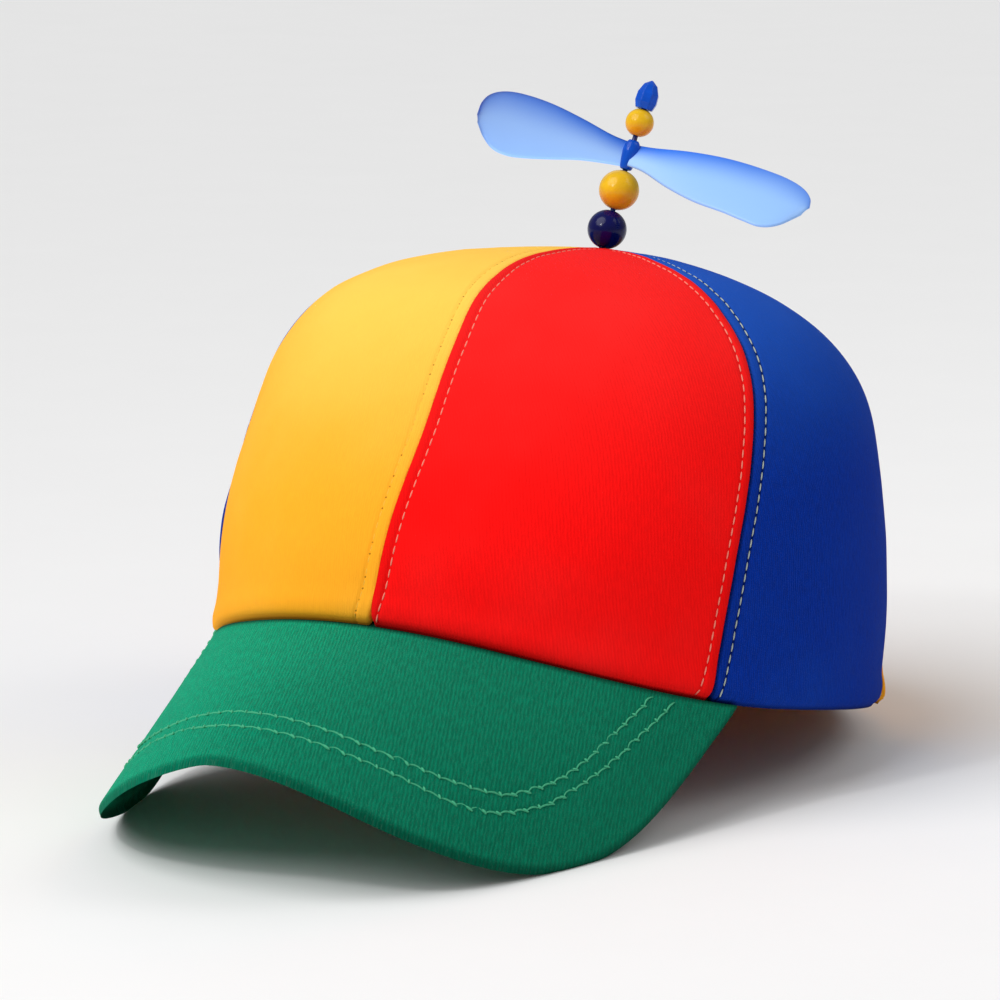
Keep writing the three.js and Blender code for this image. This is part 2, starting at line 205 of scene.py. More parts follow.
# Each row of stitches on the peak, from its middle outwards: (share of the half width, reach from the hem)
PEAK_STITCH_ROWS = {
    "inner": (
        (0, 0.0562), (0.2, 0.0548), (0.36, 0.0550), (0.52, 0.0545), (0.62, 0.0525),
        (0.67, 0.0495), (0.72, 0.041), (0.742, 0.032), (0.757, 0.0145), (0.767, 0.001),
    ),
    "outer": (
        (0, 0.0637), (0.2, 0.0615), (0.4, 0.0606), (0.56, 0.0612), (0.64, 0.0595), (0.69, 0.0562),
        (0.735, 0.0505), (0.758, 0.046), (0.79, 0.034), (0.807, 0.0246), (0.822, 0.009), (0.827, 0.001),
    ),
}
PEAK_ROW_STEPS = 110
# The peak's stitches lie a little deep, and between every two lies a knot, set back and slanting
STITCH_SINK = 0.00015
KNOT_LENGTH = 0.0017
KNOT_SPREAD = 0.0008
KNOT_SHIFT = 0.0004

# The post's pieces
CLEARANCE = 0.0003
POST_RADIUS = 0.0007
BEAD_BORE = 0.0010
NAVY_RADIUS = 0.00535
LARGE_RADIUS = 0.0055
SMALL_RADIUS = 0.0039
FINIAL_RADIUS = 0.0032
FINIAL_HEIGHT = 0.0079
FINIAL_GRIP = 0.0035
# The finial's outline, from its hollow foot to its tip, as shares of its radius and height
FINIAL_OUTLINE = (
    (0, 0.03), (0.3, 0.02), (0.74, -0.045), (0.79, -0.04), (1, 0.2), (0.97, 0.5), (0.62, 0.82), (0, 1),
)
FINIAL_SIDES = 8
FINIAL_BEVEL = 0.00012
SPIN_ROOM = 0.00115
# The dimple where the wire goes into a bead
DIMPLE_WIDTH = 0.0003
DIMPLE_DEPTH = 0.00035
# The disc that holds the wire inside the crown
DISC_DROP = 0.0023
DISC_THICKNESS = 0.0012
DISC_RADIUS = 0.0035
DISC_ROUND = 0.0003
WIRE_ROUND = 0.0002

# The propeller
HUB_RADIUS = 0.0023
HUB_HEIGHT = 0.0083
HUB_BORE = 0.00095
# The hub's outline, from its foot to its top, as shares of its radius and of half its height
HUB_OUTLINE = (
    (0.55, -1), (0.72, -0.92), (0.85, -0.6), (0.96, -0.1), (1, 0.35), (0.86, 0.75), (0.6, 0.97), (0.5, 1),
)
BLADE_ROOT = 0.0013
BLADE_LENGTH = 0.054
BLADE_WIDTH = 0.0205
BLADE_THICKNESS = 0.001
BLADE_CAMBER = 0.0012
BLADE_SWEEP = 0.006
LEFT_BLADE_DROOP = 0.002
PROPELLER_TURN = math.radians(-2)
# Along each blade: its pitch, and its upper and lower half as shares of BLADE_WIDTH
BLADE_STATIONS = {
    "at": (0, 0.12, 0.3, 0.5, 0.68, 0.8, 0.9, 0.965, 1),
    "upper": (0.17, 0.21, 0.33, 0.445, 0.495, 0.485, 0.4, 0.25, 0.06),
    "right_lower": (0.17, 0.19, 0.24, 0.34, 0.42, 0.45, 0.4, 0.25, 0.06),
    "left_lower": (0.17, 0.21, 0.38, 0.54, 0.62, 0.68, 0.69, 0.52, 0.16),
    "left_pitch": (62, 60, 54, 47, 42, 40, 39, 38, 38),
    "right_pitch": (72, 71, 68, 64, 61, 58, 57, 56, 56),
}

# Heights along the post, from the middle of the propeller's hub
LARGE_HEIGHT = -(HUB_HEIGHT / 2 + CLEARANCE + LARGE_RADIUS)
NAVY_HEIGHT = LARGE_HEIGHT - LARGE_RADIUS - CLEARANCE - NAVY_RADIUS
CROWN_TOP = NAVY_HEIGHT - NAVY_RADIUS - CLEARANCE
SMALL_HEIGHT = HUB_HEIGHT / 2 + SPIN_ROOM + SMALL_RADIUS
FINIAL_FOOT = SMALL_HEIGHT + SMALL_RADIUS + CLEARANCE
POST_TOP = FINIAL_FOOT + FINIAL_GRIP

# A small step in an angle or a share, to find directions on a surface
SMALL_STEP = 1e-3
# Points of a shape that lie this close are one. The peak's rim is coarser than the other pieces.
MERGE_DISTANCE = 1e-6
PEAK_MERGE_DISTANCE = 1e-5

# The camera of the photograph
CAMERA_PLACE = Vector((0.60689, -1.08126, 0.31181))
CAMERA_AIM = Vector((-0.01505, 0.03615, 0.06691))
CAMERA_ROLL = math.radians(-0.42)
CAMERA_LENS = 173.48
FILM_WIDTH = 36

WHITE = (1, 1, 1)

# The light: each lamp's direction is (azimuth, elevation) in degrees, the azimuth turning from the front
# (-Y) towards +X
WORLD_STRENGTH = 0.38
KEY_DIRECTION = (-32, 50)
KEY_STRENGTH = 2.05
KEY_SOFTNESS = 50
KEY_DISTANCE = 2
# Each small lamp: its name, direction, distance, size and power
SMALL_LAMPS = (
    ("glint", (-14, 38), 0.8, 0.07, 0.9),
    ("back", (112, 44), 1.0, 0.5, 1.3),
)
FLOOR_REACH = 6


def cap_place():
    """The matrix that sets the upright cap down as it rests: its rim is the record's head mount."""
    head = frame["record"]["mounts"][0]
    down = Vector(head["axis"])
    tilt = math.atan2(down.y, -down.z)
    return Matrix.Translation(head["pos_m"]) @ Matrix.Rotation(tilt, 4, "X")


def post_place():
    """The matrix that puts +Z on the post, with the middle of the hub at the origin."""
    spin = frame["record"]["behaviour"]["joints"][0]
    upright = CAP_PLACE.to_3x3().inverted()
    lean = Vector((0, 0, 1)).rotation_difference(upright @ Vector(spin["axis"]))
    hub = CAP_PLACE.inverted() @ Vector(spin["pos_m"])
    return CAP_PLACE @ Matrix.Translation(hub) @ lean.to_matrix().to_4x4()


CAP_PLACE = cap_place()
POST_PLACE = post_place()


def screen_colour(red, green, blue):
    """A colour on screen, 0 to 255 a channel, as linear light."""
    shares = [channel / 255 for channel in (red, green, blue)]
    return tuple(c / 12.92 if c <= 0.04045 else ((c + 0.055) / 1.055) ** 2.4 for c in shares)


def length_property(name, description, default):
    """A length that a user may change."""
    return FloatProperty(
        name=name, description=description, default=default, min=0, precision=5, unit="LENGTH"
    )


def colour_property(name, description, *channels):
    """A colour that a user may change, given as on screen."""
    colour = screen_colour(*channels)
    return FloatVectorProperty(
        name=name, description=description, default=colour, size=3, min=0, max=1, subtype="COLOR"
    )


class BeanieSizes(bpy.types.PropertyGroup):
    """Sizes of the sewing and of the soft relief in the cloth."""

    cloth_thickness: length_property("Cloth", "Thickness of a crown panel with its backing", 0.0016)
    seam_depth: length_property("Seam depth", "How far the cloth dips into a seam", 0.0009)
    seam_ridge: length_property("Seam ridge", "How far the folded edge stands up beside a seam", 0.0003)
    stitch_groove: length_property("Stitch groove", "How deep a row of stitches pulls the cloth", 0.00028)
    topstitch_inset: length_property("Topstitch inset", "From a seam to its row of stitches", 0.0034)
    row_drift: length_property("Row drift", "How far a row of stitches strays sideways at the hem", 0.0013)
    stitch_pitch: length_property("Stitch pitch", "From one crown stitch to the next", 0.0030)
    stitch_length: length_property("Stitch length", "Length of a crown stitch that shows", 0.0023)
    thread_width: length_property("Thread width", "Width of the thread on the crown", 0.00044)
    peak_stitch_pitch: length_property("Peak stitch pitch", "From one peak stitch to the next", 0.0043)
    peak_thread_width: length_property("Peak thread width", "Width of the thread on the peak", 0.00050)
    peak_stitch_bow: length_property("Peak stitch bow", "How far a peak stitch bows backwards", 0.00075)
    soft_relief: length_property("Soft relief", "Height of the slow waves in the crown's cloth", 0.0006)
    tape_width: length_property("Tape width", "Width of the tape that covers each seam inside", 0.011)


class BeanieColours(bpy.types.PropertyGroup):
    """Colours of the cloth, threads, beads and propeller."""

    red: colour_property("Red cloth", "Front left and back right panels", 255, 14, 14)
    # The paler red, blue and yellow are the colours of faded patches and also of painted light at the
    # crown's top
    red_paler: colour_property("Red cloth, faded", "Where the red is paler", 255, 62, 60)
    blue: colour_property("Blue cloth", "Side panels", 0, 44, 146)
    blue_paler: colour_property("Blue cloth, faded", "Where the blue is paler", 36, 96, 200)
    yellow: colour_property("Yellow cloth", "Front right and back left panels", 255, 168, 38)
    yellow_paler: colour_property("Yellow cloth, faded", "Where the yellow is paler", 255, 222, 106)
    green: colour_property("Green cloth", "Peak", 0, 148, 110)
    green_faded: colour_property("Green cloth, faded", "Where the green is paler", 30, 168, 128)
    cream_thread: colour_property("Cream thread", "Topstitching on blue", 186, 196, 186)
    coral_thread: colour_property("Coral thread", "Topstitching on red", 255, 140, 120)
    yellow_thread: colour_property("Yellow thread", "Topstitching on yellow", 250, 184, 62)
    mint_thread: colour_property("Mint thread", "Stitching on the peak", 70, 176, 132)
    navy: colour_property("Navy bead", "Lowest bead", 3, 5, 74)
    amber: colour_property("Amber beads", "Upper side of the yellow beads", 222, 174, 26)
    # Painted shade: the yellow beads' under side is darker and more orange
    amber_shaded: colour_property("Amber beads, below", "Under side of the yellow beads", 240, 142, 26)
    cobalt: colour_property("Cobalt", "Finial and hub", 4, 74, 186)
    blade_pale: colour_property("Blade, pale", "Lower edge of the blades", 150, 194, 254)
    # Painted shade: the blades' deeper blue along their upper edge
    blade_shaded: colour_property("Blade, deep", "Upper edge of the blades", 26, 110, 232)
    wire: colour_property("Wire", "The post", 26, 44, 104)
    tape: colour_property("Tape", "Tape over the seams inside", 18, 40, 110)
    floor: colour_property("Floor", "The plain floor", 243, 243, 243)


def sizes():
    """The sizes that are set for this scene."""
    return bpy.context.scene.beanie_sizes


def colours():
    """The colours that are set for this scene."""
    return bpy.context.scene.beanie_colours


# Shape of the crown and the peak


def station_value(stations, column, at):
    """A smooth curve through one column of a table of stations."""
    places = stations["at"]
    values = stations[column]
    last = len(places) - 1

    def slope(k):
        low = max(k - 1, 0)
        high = min(k + 1, last)
        return (values[high] - values[low]) / (places[high] - places[low])

    low = min(max(bisect.bisect_right(places, at) - 1, 0), last - 1)
    span = places[low + 1] - places[low]
    share = (at - places[low]) / span
    rest = 1 - share
    return (
        (1 + 2 * share) * rest * rest * values[low]
        + share * rest * rest * span * slope(low)
        + share * share * (3 - 2 * share) * values[low + 1]
        - share * share * rest * span * slope(low + 1)
    )


def crown_value(column, at):
    """A column of the crown's stations."""
    return station_value(CROWN_STATIONS, column, at)


def crown_point(seam_angle, at):
    """The crown's plain outer face at an angle from the front and a share of the way up."""
    in_panel = (seam_angle % PANEL_ANGLE) / PANEL_ANGLE
    swell = 1 + PANEL_BULGE / SIDE_RADIUS * math.sin(math.pi * in_panel)
    angle = seam_angle + math.radians(crown_value("twist", at))
    forward = math.cos(angle)
    if forward > 0:
        depth = FRONT_RADIUS * crown_value("front", at)
    else:
        depth = BACK_RADIUS * crown_value("back", at)
    return Vector((
        SIDE_RADIUS * (crown_value("side", at) * swell * math.sin(angle) + crown_value("left", at)),
        -depth * swell * forward + BACK_RADIUS * crown_value("aft", at),
        CROWN_HEIGHT * crown_value("rise", at),
    ))


def crown_spot(angle, at):
    """(point, direction up the cloth, normal) on the crown's plain outer face."""
    point = crown_point(angle, at)
    across = crown_point(angle + SMALL_STEP, at) - point
    up = crown_point(angle, at + SMALL_STEP) - point
    return point, up.normalized(), across.cross(up).normalized()


def solve(rising, target, low, high):
    """Where a rising function reaches its target."""
    for _ in range(40):
        middle = (low + high) / 2
        if rising(middle) > target:
            high = middle
        else:
            low = middle
    return low


def hem_at(angle):
    """How far up the crown its hem is at an angle: it arches over the peak."""
    angle = (angle + math.pi) % (2 * math.pi) - math.pi
    share = min(abs(angle - PEAK_ARCH_MIDDLE) / PEAK_ARCH_HALF_ANGLE, 1)
    if share == 1:
        return 0
    height = PEAK_ARCH * (1 + math.cos(math.pi * share)) / 2
    return solve(lambda at: CROWN_HEIGHT * crown_value("rise", at), height, 0, 0.6)


TOP_AT = solve(lambda at: -SIDE_RADIUS * crown_value("side", at), -TOP_HOLE_RADIUS, 0.85, 1)


def hill(distance, centre, width):
    """A smooth hill of height 1."""
    return math.exp(-(((distance - centre) / width) ** 2))


def half_width(quarter_angle, at):
    """The width of half a panel at a share of the way up, from a short chord in its middle."""
    step = 0.02
    chord = crown_point(quarter_angle + step, at) - crown_point(quarter_angle - step, at)
    return chord.length / (2 * step) * PANEL_ANGLE / 2


def column_place(column, half):
    """Where a column lies, as a share of a panel's half width: beside the seam they lie close together."""
    fine = min(FINE_REACH / half, FINE_COLUMNS)
    if column < FINE_COLUMNS:
        return fine * column / FINE_COLUMNS
    return fine + (1 - fine) * ((column - FINE_COLUMNS) / (1 - FINE_COLUMNS)) ** COLUMN_SPREAD


def row_inset(side, at, hem):
    """From a seam to its row of stitches: near the hem each row strays away from the seam or towards it."""
    size = sizes()
    stray = size.row_drift * hill(at, hem, ROW_DRIFT_REACH)
    return size.topstitch_inset + (stray if side else -stray)


def proud_edge(number, side, at, seam_distance):
    """How far an edge stands away from the crown."""
    height = 0
    for panel, seam, middle, spread, most in PROUD_EDGES:
        if (panel, seam) == (number, side):
            height += most * hill(at, middle, spread) * hill(seam_distance, PROUD_PLACE, PROUD_WIDTH)
    return height


def slow_wave(point, seam_distance):
    """The slow waves in the crown's cloth: they fade out towards the seams."""
    return sizes().soft_relief * noise.noise(point * WAVE_SCALE) * min(seam_distance / WAVE_FADE, 1)


def cloth_relief(point, number, side, seam_distance, row_distance, hem_distance):
    """How far the sewn cloth stands proud of the plain crown."""
    size = sizes()
    ridge = size.seam_ridge * RIDGE_SHARES[number] * hill(seam_distance, RIDGE_PLACE, RIDGE_WIDTH)
    dip = size.seam_depth * DIP_SHARES[(number + side) % len(PANELS)] * hill(seam_distance, 0, DIP_WIDTH)
    groove = size.stitch_groove * hill(row_distance, 0, GROOVE_WIDTH)
    pucker = PUCKER_HEIGHT * noise.noise(point * PUCKER_SCALE) * hill(row_distance, 0, PUCKER_WIDTH)
    soft = slow_wave(point, seam_distance) + RIPPLE_HEIGHT * noise.noise(point * RIPPLE_SCALE)
    roll = HEM_ROLL_HEIGHT * hill(hem_distance, HEM_ROLL_PLACE, HEM_ROLL_WIDTH)
    return ridge - dip - groove + pucker + soft + roll - HEM_DIP * hill(hem_distance, 0, HEM_DIP_WIDTH)


def cloth_spot(number, side, seam_distance, at, hem_distance=None):
    """(point, up, normal) on a panel's sewn outer face, from its first seam (side 0) or its second (1)."""
    seam_angle = (number + side) * PANEL_ANGLE
    inwards = 1 if side == 0 else -1
    half = half_width(seam_angle + inwards * PANEL_ANGLE / 4, at)
    angle = seam_angle + inwards * PANEL_ANGLE / 2 * min(seam_distance / half, 1)
    if hem_distance is None:
        hem_distance = (at - hem_at(angle)) * HEM_CLIMB
    point, up, normal = crown_spot(angle, at)
    row_distance = seam_distance - row_inset(side, at, hem_at(seam_angle))
    relief = cloth_relief(point, number, side, seam_distance, row_distance, hem_distance)
    relief += proud_edge(number, side, at, seam_distance)
    return point + normal * relief, up, normal


def peak_reach(across):
    """The peak's length at a share of its half width."""
    return PEAK_LENGTH * max(1 - abs(across) ** PEAK_SQUARENESS, 0) ** (1 / PEAK_SQUARENESS)


def peak_spot(across, reach):
    """(point, normal) on the plain top of the peak."""
    angle = across * PEAK_HALF_ANGLE
    at = hem_at(angle)
    root, _, outwards = crown_spot(angle, at)
    slope = PEAK_SLOPE_MIDDLE + (PEAK_SLOPE_ENDS - PEAK_SLOPE_MIDDLE) * abs(across) ** PEAK_SLOPE_POWER
    turn = -PEAK_TURN_IN * across
    forward = Vector((
        math.sin(turn) * math.cos(slope),
        -math.cos(turn) * math.cos(slope),
        -math.sin(slope),
    ))
    before, after = angle - SMALL_STEP, angle + SMALL_STEP
    along = crown_point(after, hem_at(after)) - crown_point(before, hem_at(before))
    normal = forward.cross(along).normalized()
    if normal.z < 0:
        normal.negate()
    root.z -= PEAK_ROOT_DROP
    if reach < 0:
        return root + outwards * reach, normal
    rise = PEAK_ROOT_RISE * hill(reach, 0, PEAK_ROOT_RISE_REACH)
    for most, middle, spread, late in PEAK_SAGS:
        rise -= most * hill(across, middle, spread) * (reach / PEAK_LENGTH) ** late
    return root + forward * reach + Vector((0, 0, rise)), normal


def peak_outwards(point, across, reach):
    """The direction from a point of the peak out to its rim, and none at its root."""
    if reach <= 0:
        return Vector()
    further = 1.01
    return (peak_spot(across * further, reach * further)[0] - point).normalized()


def rim_nearness(across, reach):
    """How near a spot of the peak is to its rim, where it is 1."""
    along = max(reach, 0) / PEAK_LENGTH
    return (abs(across) ** PEAK_SQUARENESS + along**PEAK_SQUARENESS) ** (1 / PEAK_SQUARENESS)


def peak_shade(across, reach, edge):
    """Painted shade on the peak's cloth: shadow under the hem, and shade towards the wearer's left and
    round its rim.
    """
    under_hem = HEM_SHADE * hill(max(reach, 0), 0, HEM_SHADE_REACH)
    left = LEFT_SHADE / (1 + math.exp(-(across - LEFT_SHADE_START) / LEFT_SHADE_SPREAD))
    rim = RIM_SHADE * (1 - edge) ** RIM_SHADE_POWER
    return max(under_hem, 1 - (1 - rim) * (1 - left))


# Stitching


class StitchRow:
    """A row of stitches: spots along it, and the length of thread up to each."""

    def __init__(self, spots, places=None):
        self.points = [point for point, _ in spots]
        self.normals = [normal for _, normal in spots]
        self.places = places
        steps = [(b - a).length for a, b in zip(self.points, self.points[1:])]
        self.lengths = list(accumulate(steps, initial=0))

    def spot(self, length):
        """(point, direction, normal) at a length along the row."""
        low = min(bisect.bisect_right(self.lengths, length), len(self.lengths) - 1) - 1
        share = (length - self.lengths[low]) / (self.lengths[low + 1] - self.lengths[low])
        start = self.points[low]
        step = self.points[low + 1] - start
        return start + step * share, step.normalized(), self.normals[low]

    def length_at(self, place):
        """The length along the row at a place such as a share of the way up."""
        low = min(max(bisect.bisect_right(self.places, place), 1), len(self.places) - 1) - 1
        share = (place - self.places[low]) / (self.places[low + 1] - self.places[low])
        return self.lengths[low] + share * (self.lengths[low + 1] - self.lengths[low])


def crown_row(number, side):
    """The row of topstitching beside one seam of a panel, from the hem to near the top."""
    inset = sizes().topstitch_inset
    angle = (number + side) * PANEL_ANGLE
    quarter = angle + (1 if side == 0 else -1) * PANEL_ANGLE / 4
    top = solve(lambda at: -half_width(quarter, at), -1.25 * inset, 0.7, 1)
    hem = hem_at(angle)
    start = hem + ROW_START
    places = [start + (top - start) * step / ROW_STEPS for step in range(ROW_STEPS + 1)]
    spots = []
    for at in places:
        point, _, normal = cloth_spot(number, side, row_inset(side, at, hem), at)
        spots.append((point, normal))
    return StitchRow(spots, places)


def peak_row(table):
    """A row of stitches on the peak, from one end of its hem to the other."""
    stations = {"at": tuple(range(len(table)))}
    stations["across"] = tuple(across for across, _ in table)
    stations["reach"] = tuple(reach for _, reach in table)
    last = len(table) - 1
    places = [last * (step / PEAK_ROW_STEPS - 1) for step in range(2 * PEAK_ROW_STEPS + 1)]
    spots = []
    for place in places:
        across = math.copysign(station_value(stations, "across", abs(place)), place)
        spots.append(peak_spot(across, station_value(stations, "reach", abs(place))))
    return StitchRow(spots)


def row_tree(rows):
    """The points of several rows, to find the nearest."""
    points = [point for row in rows for point in row.points]
    tree = KDTree(len(points))
    for index, point in enumerate(points):
        tree.insert(point, index)
    tree.balance()
    return tree


def add_stitch(bm, centre, along, normal, length, width, height, bow=0.0):
    """One stitch: a small pill that lies on the cloth, bowed to its left."""
    across = normal.cross(along).normalized()
    lift = across.cross(along).normalized() * -1
    place = Matrix((across * width / 2, lift * height / 2, along * length / 2)).transposed().to_4x4()
    place.translation = centre
    pill = bmesh.ops.create_uvsphere(bm, u_segments=8, v_segments=7, radius=1, matrix=place)["verts"]
    if bow:
        for vert in pill:
            share = (vert.co - centre).dot(along) / (length / 2)
            vert.co += across * bow * (1 - share * share)


# Materials


def add_node(tree, kind, inputs, **settings):
    """A shader node with its settings, and its inputs linked or set."""
    made = tree.nodes.new("ShaderNode" + kind)
    for name, value in settings.items():
        setattr(made, name, value)
    for name, value in inputs.items():
        if isinstance(value, bpy.types.NodeSocket):
            tree.links.new(value, made.inputs[name])
        else:
            made.inputs[name].default_value = value
    return made


def maths(tree, operation, *values):
    """A sum on one or more numbers."""
    return add_node(tree, "Math", dict(enumerate(values)), operation=operation).outputs[0]


def soft_step(tree, value, start, end):
    """0 before start and 1 after end, with a smooth change between them."""
    inputs = {"Value": value, "From Min": start, "From Max": end}
    return add_node(tree, "MapRange", inputs, interpolation_type="SMOOTHSTEP").outputs[0]


def mix(tree, factor, first, second, blend="MIX"):
    """A mix of two colours."""
    inputs = {0: factor, 6: opaque(first), 7: opaque(second)}
    return add_node(tree, "Mix", inputs, data_type="RGBA", blend_type=blend).outputs[2]


def opaque(colour):
    """A plain colour with its alpha. A socket is left as it is."""
    if isinstance(colour, bpy.types.NodeSocket):
        return colour
    return (*colour[:3], 1)


def shade(colour, factor):
    """A lighter or darker version of a colour."""
    return tuple(min(channel * factor, 1) for channel in colour)


def mixed(first, second, share):
    """A plain mix of two colours."""
    return tuple(a + (b - a) * share for a, b in zip(first, second))


def attribute(tree, name):
    """A number that the mesh carries at each of its points."""
    return add_node(tree, "Attribute", {}, attribute_name=name).outputs["Fac"]


def grain(tree, vector, scale, detail=2.0, roughness=0.5):
    """A noise pattern from 0 to 1."""
    inputs = {"Vector": vector, "Scale": scale, "Detail": detail, "Roughness": roughness}
    return add_node(tree, "TexNoise", inputs).outputs["Fac"]


def bumped(tree, height, distance, strength=1.0):
    """A normal that follows a height pattern."""
    inputs = {"Height": height, "Distance": distance, "Strength": strength}
    return add_node(tree, "Bump", inputs).outputs["Normal"]


def new_material(name):
    """A material with its tree and its main shader."""
    material = bpy.data.materials.new(name)
    material.use_nodes = True
    tree = material.node_tree
    tree.nodes.clear()
    shader = add_node(tree, "BsdfPrincipled", {})
    add_node(tree, "OutputMaterial", {"Surface": shader.outputs[0]})
    return material, tree, shader


def set_shader(tree, shader, inputs):
    """Sets or links the main shader's inputs."""
    for name, value in inputs.items():
        if isinstance(value, bpy.types.NodeSocket):
            tree.links.new(value, shader.inputs[name])
        else:
            shader.inputs[name].default_value = value


def needle_holes(tree, row_distance, pitch):
    """1 in the small holes that the needle left along a row of topstitching, and 0 elsewhere."""
    turns = maths(tree, "FRACT", maths(tree, "DIVIDE", attribute(tree, "row_length"), pitch))
    to_half = maths(tree, "ABSOLUTE", maths(tree, "SUBTRACT", turns, 0.5))
    off_hole = maths(tree, "MULTIPLY", maths(tree, "SUBTRACT", 0.5, to_half), pitch)
    squares = maths(tree, "ADD", maths(tree, "POWER", row_distance, 2), maths(tree, "POWER", off_hole, 2))
    return soft_step(tree, maths(tree, "SQRT", squares), *HOLE_EDGES)


def sewing_marks_and_shade(tree, solid, holes, furrow_shadow, strip, seam_edge_dark):
    """How dark a panel is along its seams, rows and hem: the needle's holes, painted shadow and darker
    bands.

    holes is for the needle's holes, furrow_shadow for painted shadow in the furrow along a row, strip for
    the darker strip between a seam and its row, and seam_edge_dark for darker jagged patches along a seam's
    edge. Painted shadow also darkens the cloth along the hem.
    """
    size = sizes()
    seam = attribute(tree, "seam_distance")
    off_row = maths(tree, "ABSOLUTE", attribute(tree, "row_distance"))
    # Painted shadow in the furrow that a row of stitches pulls into the cloth
    shadow = maths(tree, "MULTIPLY", soft_step(tree, off_row, *FURROW_SHADOW_EDGES), furrow_shadow)
    # The cloth is darker in jagged patches right along a seam's edge
    jagged = soft_step(tree, grain(tree, solid, 1100, 2.0), 0.42, 0.62)
    at_edge = soft_step(tree, seam, *SEAM_DARK_EDGES)
    patchy = maths(tree, "MULTIPLY", at_edge, maths(tree, "MULTIPLY", jagged, seam_edge_dark))
    # The cloth is darker in the strip between a seam and its row of stitches
    folded = soft_step(tree, seam, size.topstitch_inset, size.topstitch_inset * 0.75)
    strip_darkening = maths(tree, "MULTIPLY", folded, strip)
    # Painted shadow under the hem
    at_hem = soft_step(tree, attribute(tree, "hem_distance"), *HEM_SHADOW_EDGES)
    hem = maths(tree, "MULTIPLY", at_hem, HEM_SHADOW)
    marks = maths(tree, "MAXIMUM", maths(tree, "MAXIMUM", shadow, patchy), maths(tree, "MAXIMUM", strip_darkening, hem))
    if not holes:
        return marks
    uneven = soft_step(tree, grain(tree, solid, 210, 1.0), 0.44, 0.6)
    pricks = maths(tree, "MULTIPLY", needle_holes(tree, off_row, size.stitch_pitch), uneven)
    return maths(tree, "MAXIMUM", marks, maths(tree, "MULTIPLY", pricks, holes))


def twill(name, colour, paler_colour, rib, lean, contrast, top_light=0.0, lint=0.0, sewing_and_shade=None, shaded=False):
    """Cotton twill: fine slanting ribs, slubs in the yarn, slow fading, lint, the marks of its stitching,
    and painted light and shade.

    rib is the spacing of the ribs, lean their slant, contrast how far light and dark yarns differ,
    top_light how much painted light pales the top, lint how many pale flecks lie in it; shaded paints in
    the mesh's shade attribute as shade.
    """
    material, tree, shader = new_material(name)
    place = add_node(tree, "UVMap", {}, uv_map="cloth").outputs["UV"]
    leaned = add_node(tree, "Mapping", {"Vector": place, "Rotation": (0, 0, lean)}).outputs[0]
    wave = {"Vector": leaned, "Scale": math.pi / 10 / rib, "Distortion": 2.6}
    wave |= {"Detail": 2.0, "Detail Scale": 0.9}
    ribs = add_node(tree, "TexWave", wave, wave_type="BANDS", bands_direction="X").outputs["Fac"]
    drawn = add_node(tree, "Mapping", {"Vector": leaned, "Scale": (1.0, 0.22, 1.0)}).outputs[0]
    slubs = soft_step(tree, grain(tree, drawn, 1.1 / rib, 3.0, 0.65), 0.28, 0.72)
    yarn = grain(tree, leaned, 2.6 / rib, 2.0)
    solid = add_node(tree, "TexCoord", {}).outputs["Object"]
    patches = soft_step(tree, grain(tree, solid, 17, 3.0, 0.55), 0.36, 0.74)
    height = add_node(tree, "SeparateXYZ", {"Vector": solid}).outputs["Z"]
    # Painted light: the cloth turns paler towards the top, as where light falls from above
    top_lit = maths(tree, "MULTIPLY", soft_step(tree, height, 0.075, 0.15), top_light)

    weave = maths(tree, "ADD", maths(tree, "MULTIPLY", ribs, 0.35), maths(tree, "MULTIPLY", slubs, 0.5))
    weave = maths(tree, "ADD", weave, maths(tree, "MULTIPLY", yarn, 0.25))
    dark, light = shade(colour, 1 - contrast), shade(colour, 1 + contrast)
    plain = mix(tree, soft_step(tree, weave, 0.2, 0.95), dark, light)
    tone = maths(tree, "ADD", maths(tree, "MULTIPLY", patches, 0.14), top_lit)
    cloth = mix(tree, tone, plain, paler_colour)
    if lint:
        specks = soft_step(tree, grain(tree, leaned, 3.4 / rib, 2.0, 0.7), 0.52, 0.74)
        cloth = mix(tree, maths(tree, "MULTIPLY", specks, lint), cloth, mixed(paler_colour, WHITE, 0.25))
    if sewing_and_shade:
        cloth = mix(tree, sewing_marks_and_shade(tree, solid, *sewing_and_shade), cloth, shade(colour, 0.1))
    if shaded:
        cloth = mix(tree, attribute(tree, "shade"), cloth, shade(colour, 0.06))
    set_shader(tree, shader, {
        "Base Color": cloth,
        "Roughness": maths(tree, "ADD", 0.8, maths(tree, "MULTIPLY", slubs, 0.12)),
        "Specular IOR Level": 0.035,
        "Sheen Weight": 0.02,
        "Sheen Roughness": 0.4,
        "Sheen Tint": opaque(mixed(colour, WHITE, 0.2)),
        "Normal": bumped(tree, weave, 0.0001 + 0.0006 * contrast, 0.6),
    })
    return material


def thread_material(name, colour):
    """Sewing thread: fine twisted fibres with a soft shine."""
    material, tree, shader = new_material(name)
    solid = add_node(tree, "TexCoord", {}).outputs["Object"]
    fibres = grain(tree, solid, 3200, 2.0, 0.7)
    tone = mix(tree, fibres, shade(colour, 0.7), shade(colour, 1.15))
    set_shader(tree, shader, {
        "Base Color": tone,
        "Roughness": 0.6,
        "Specular IOR Level": 0.2,
        "Normal": bumped(tree, fibres, 0.00008),
    })
    return material


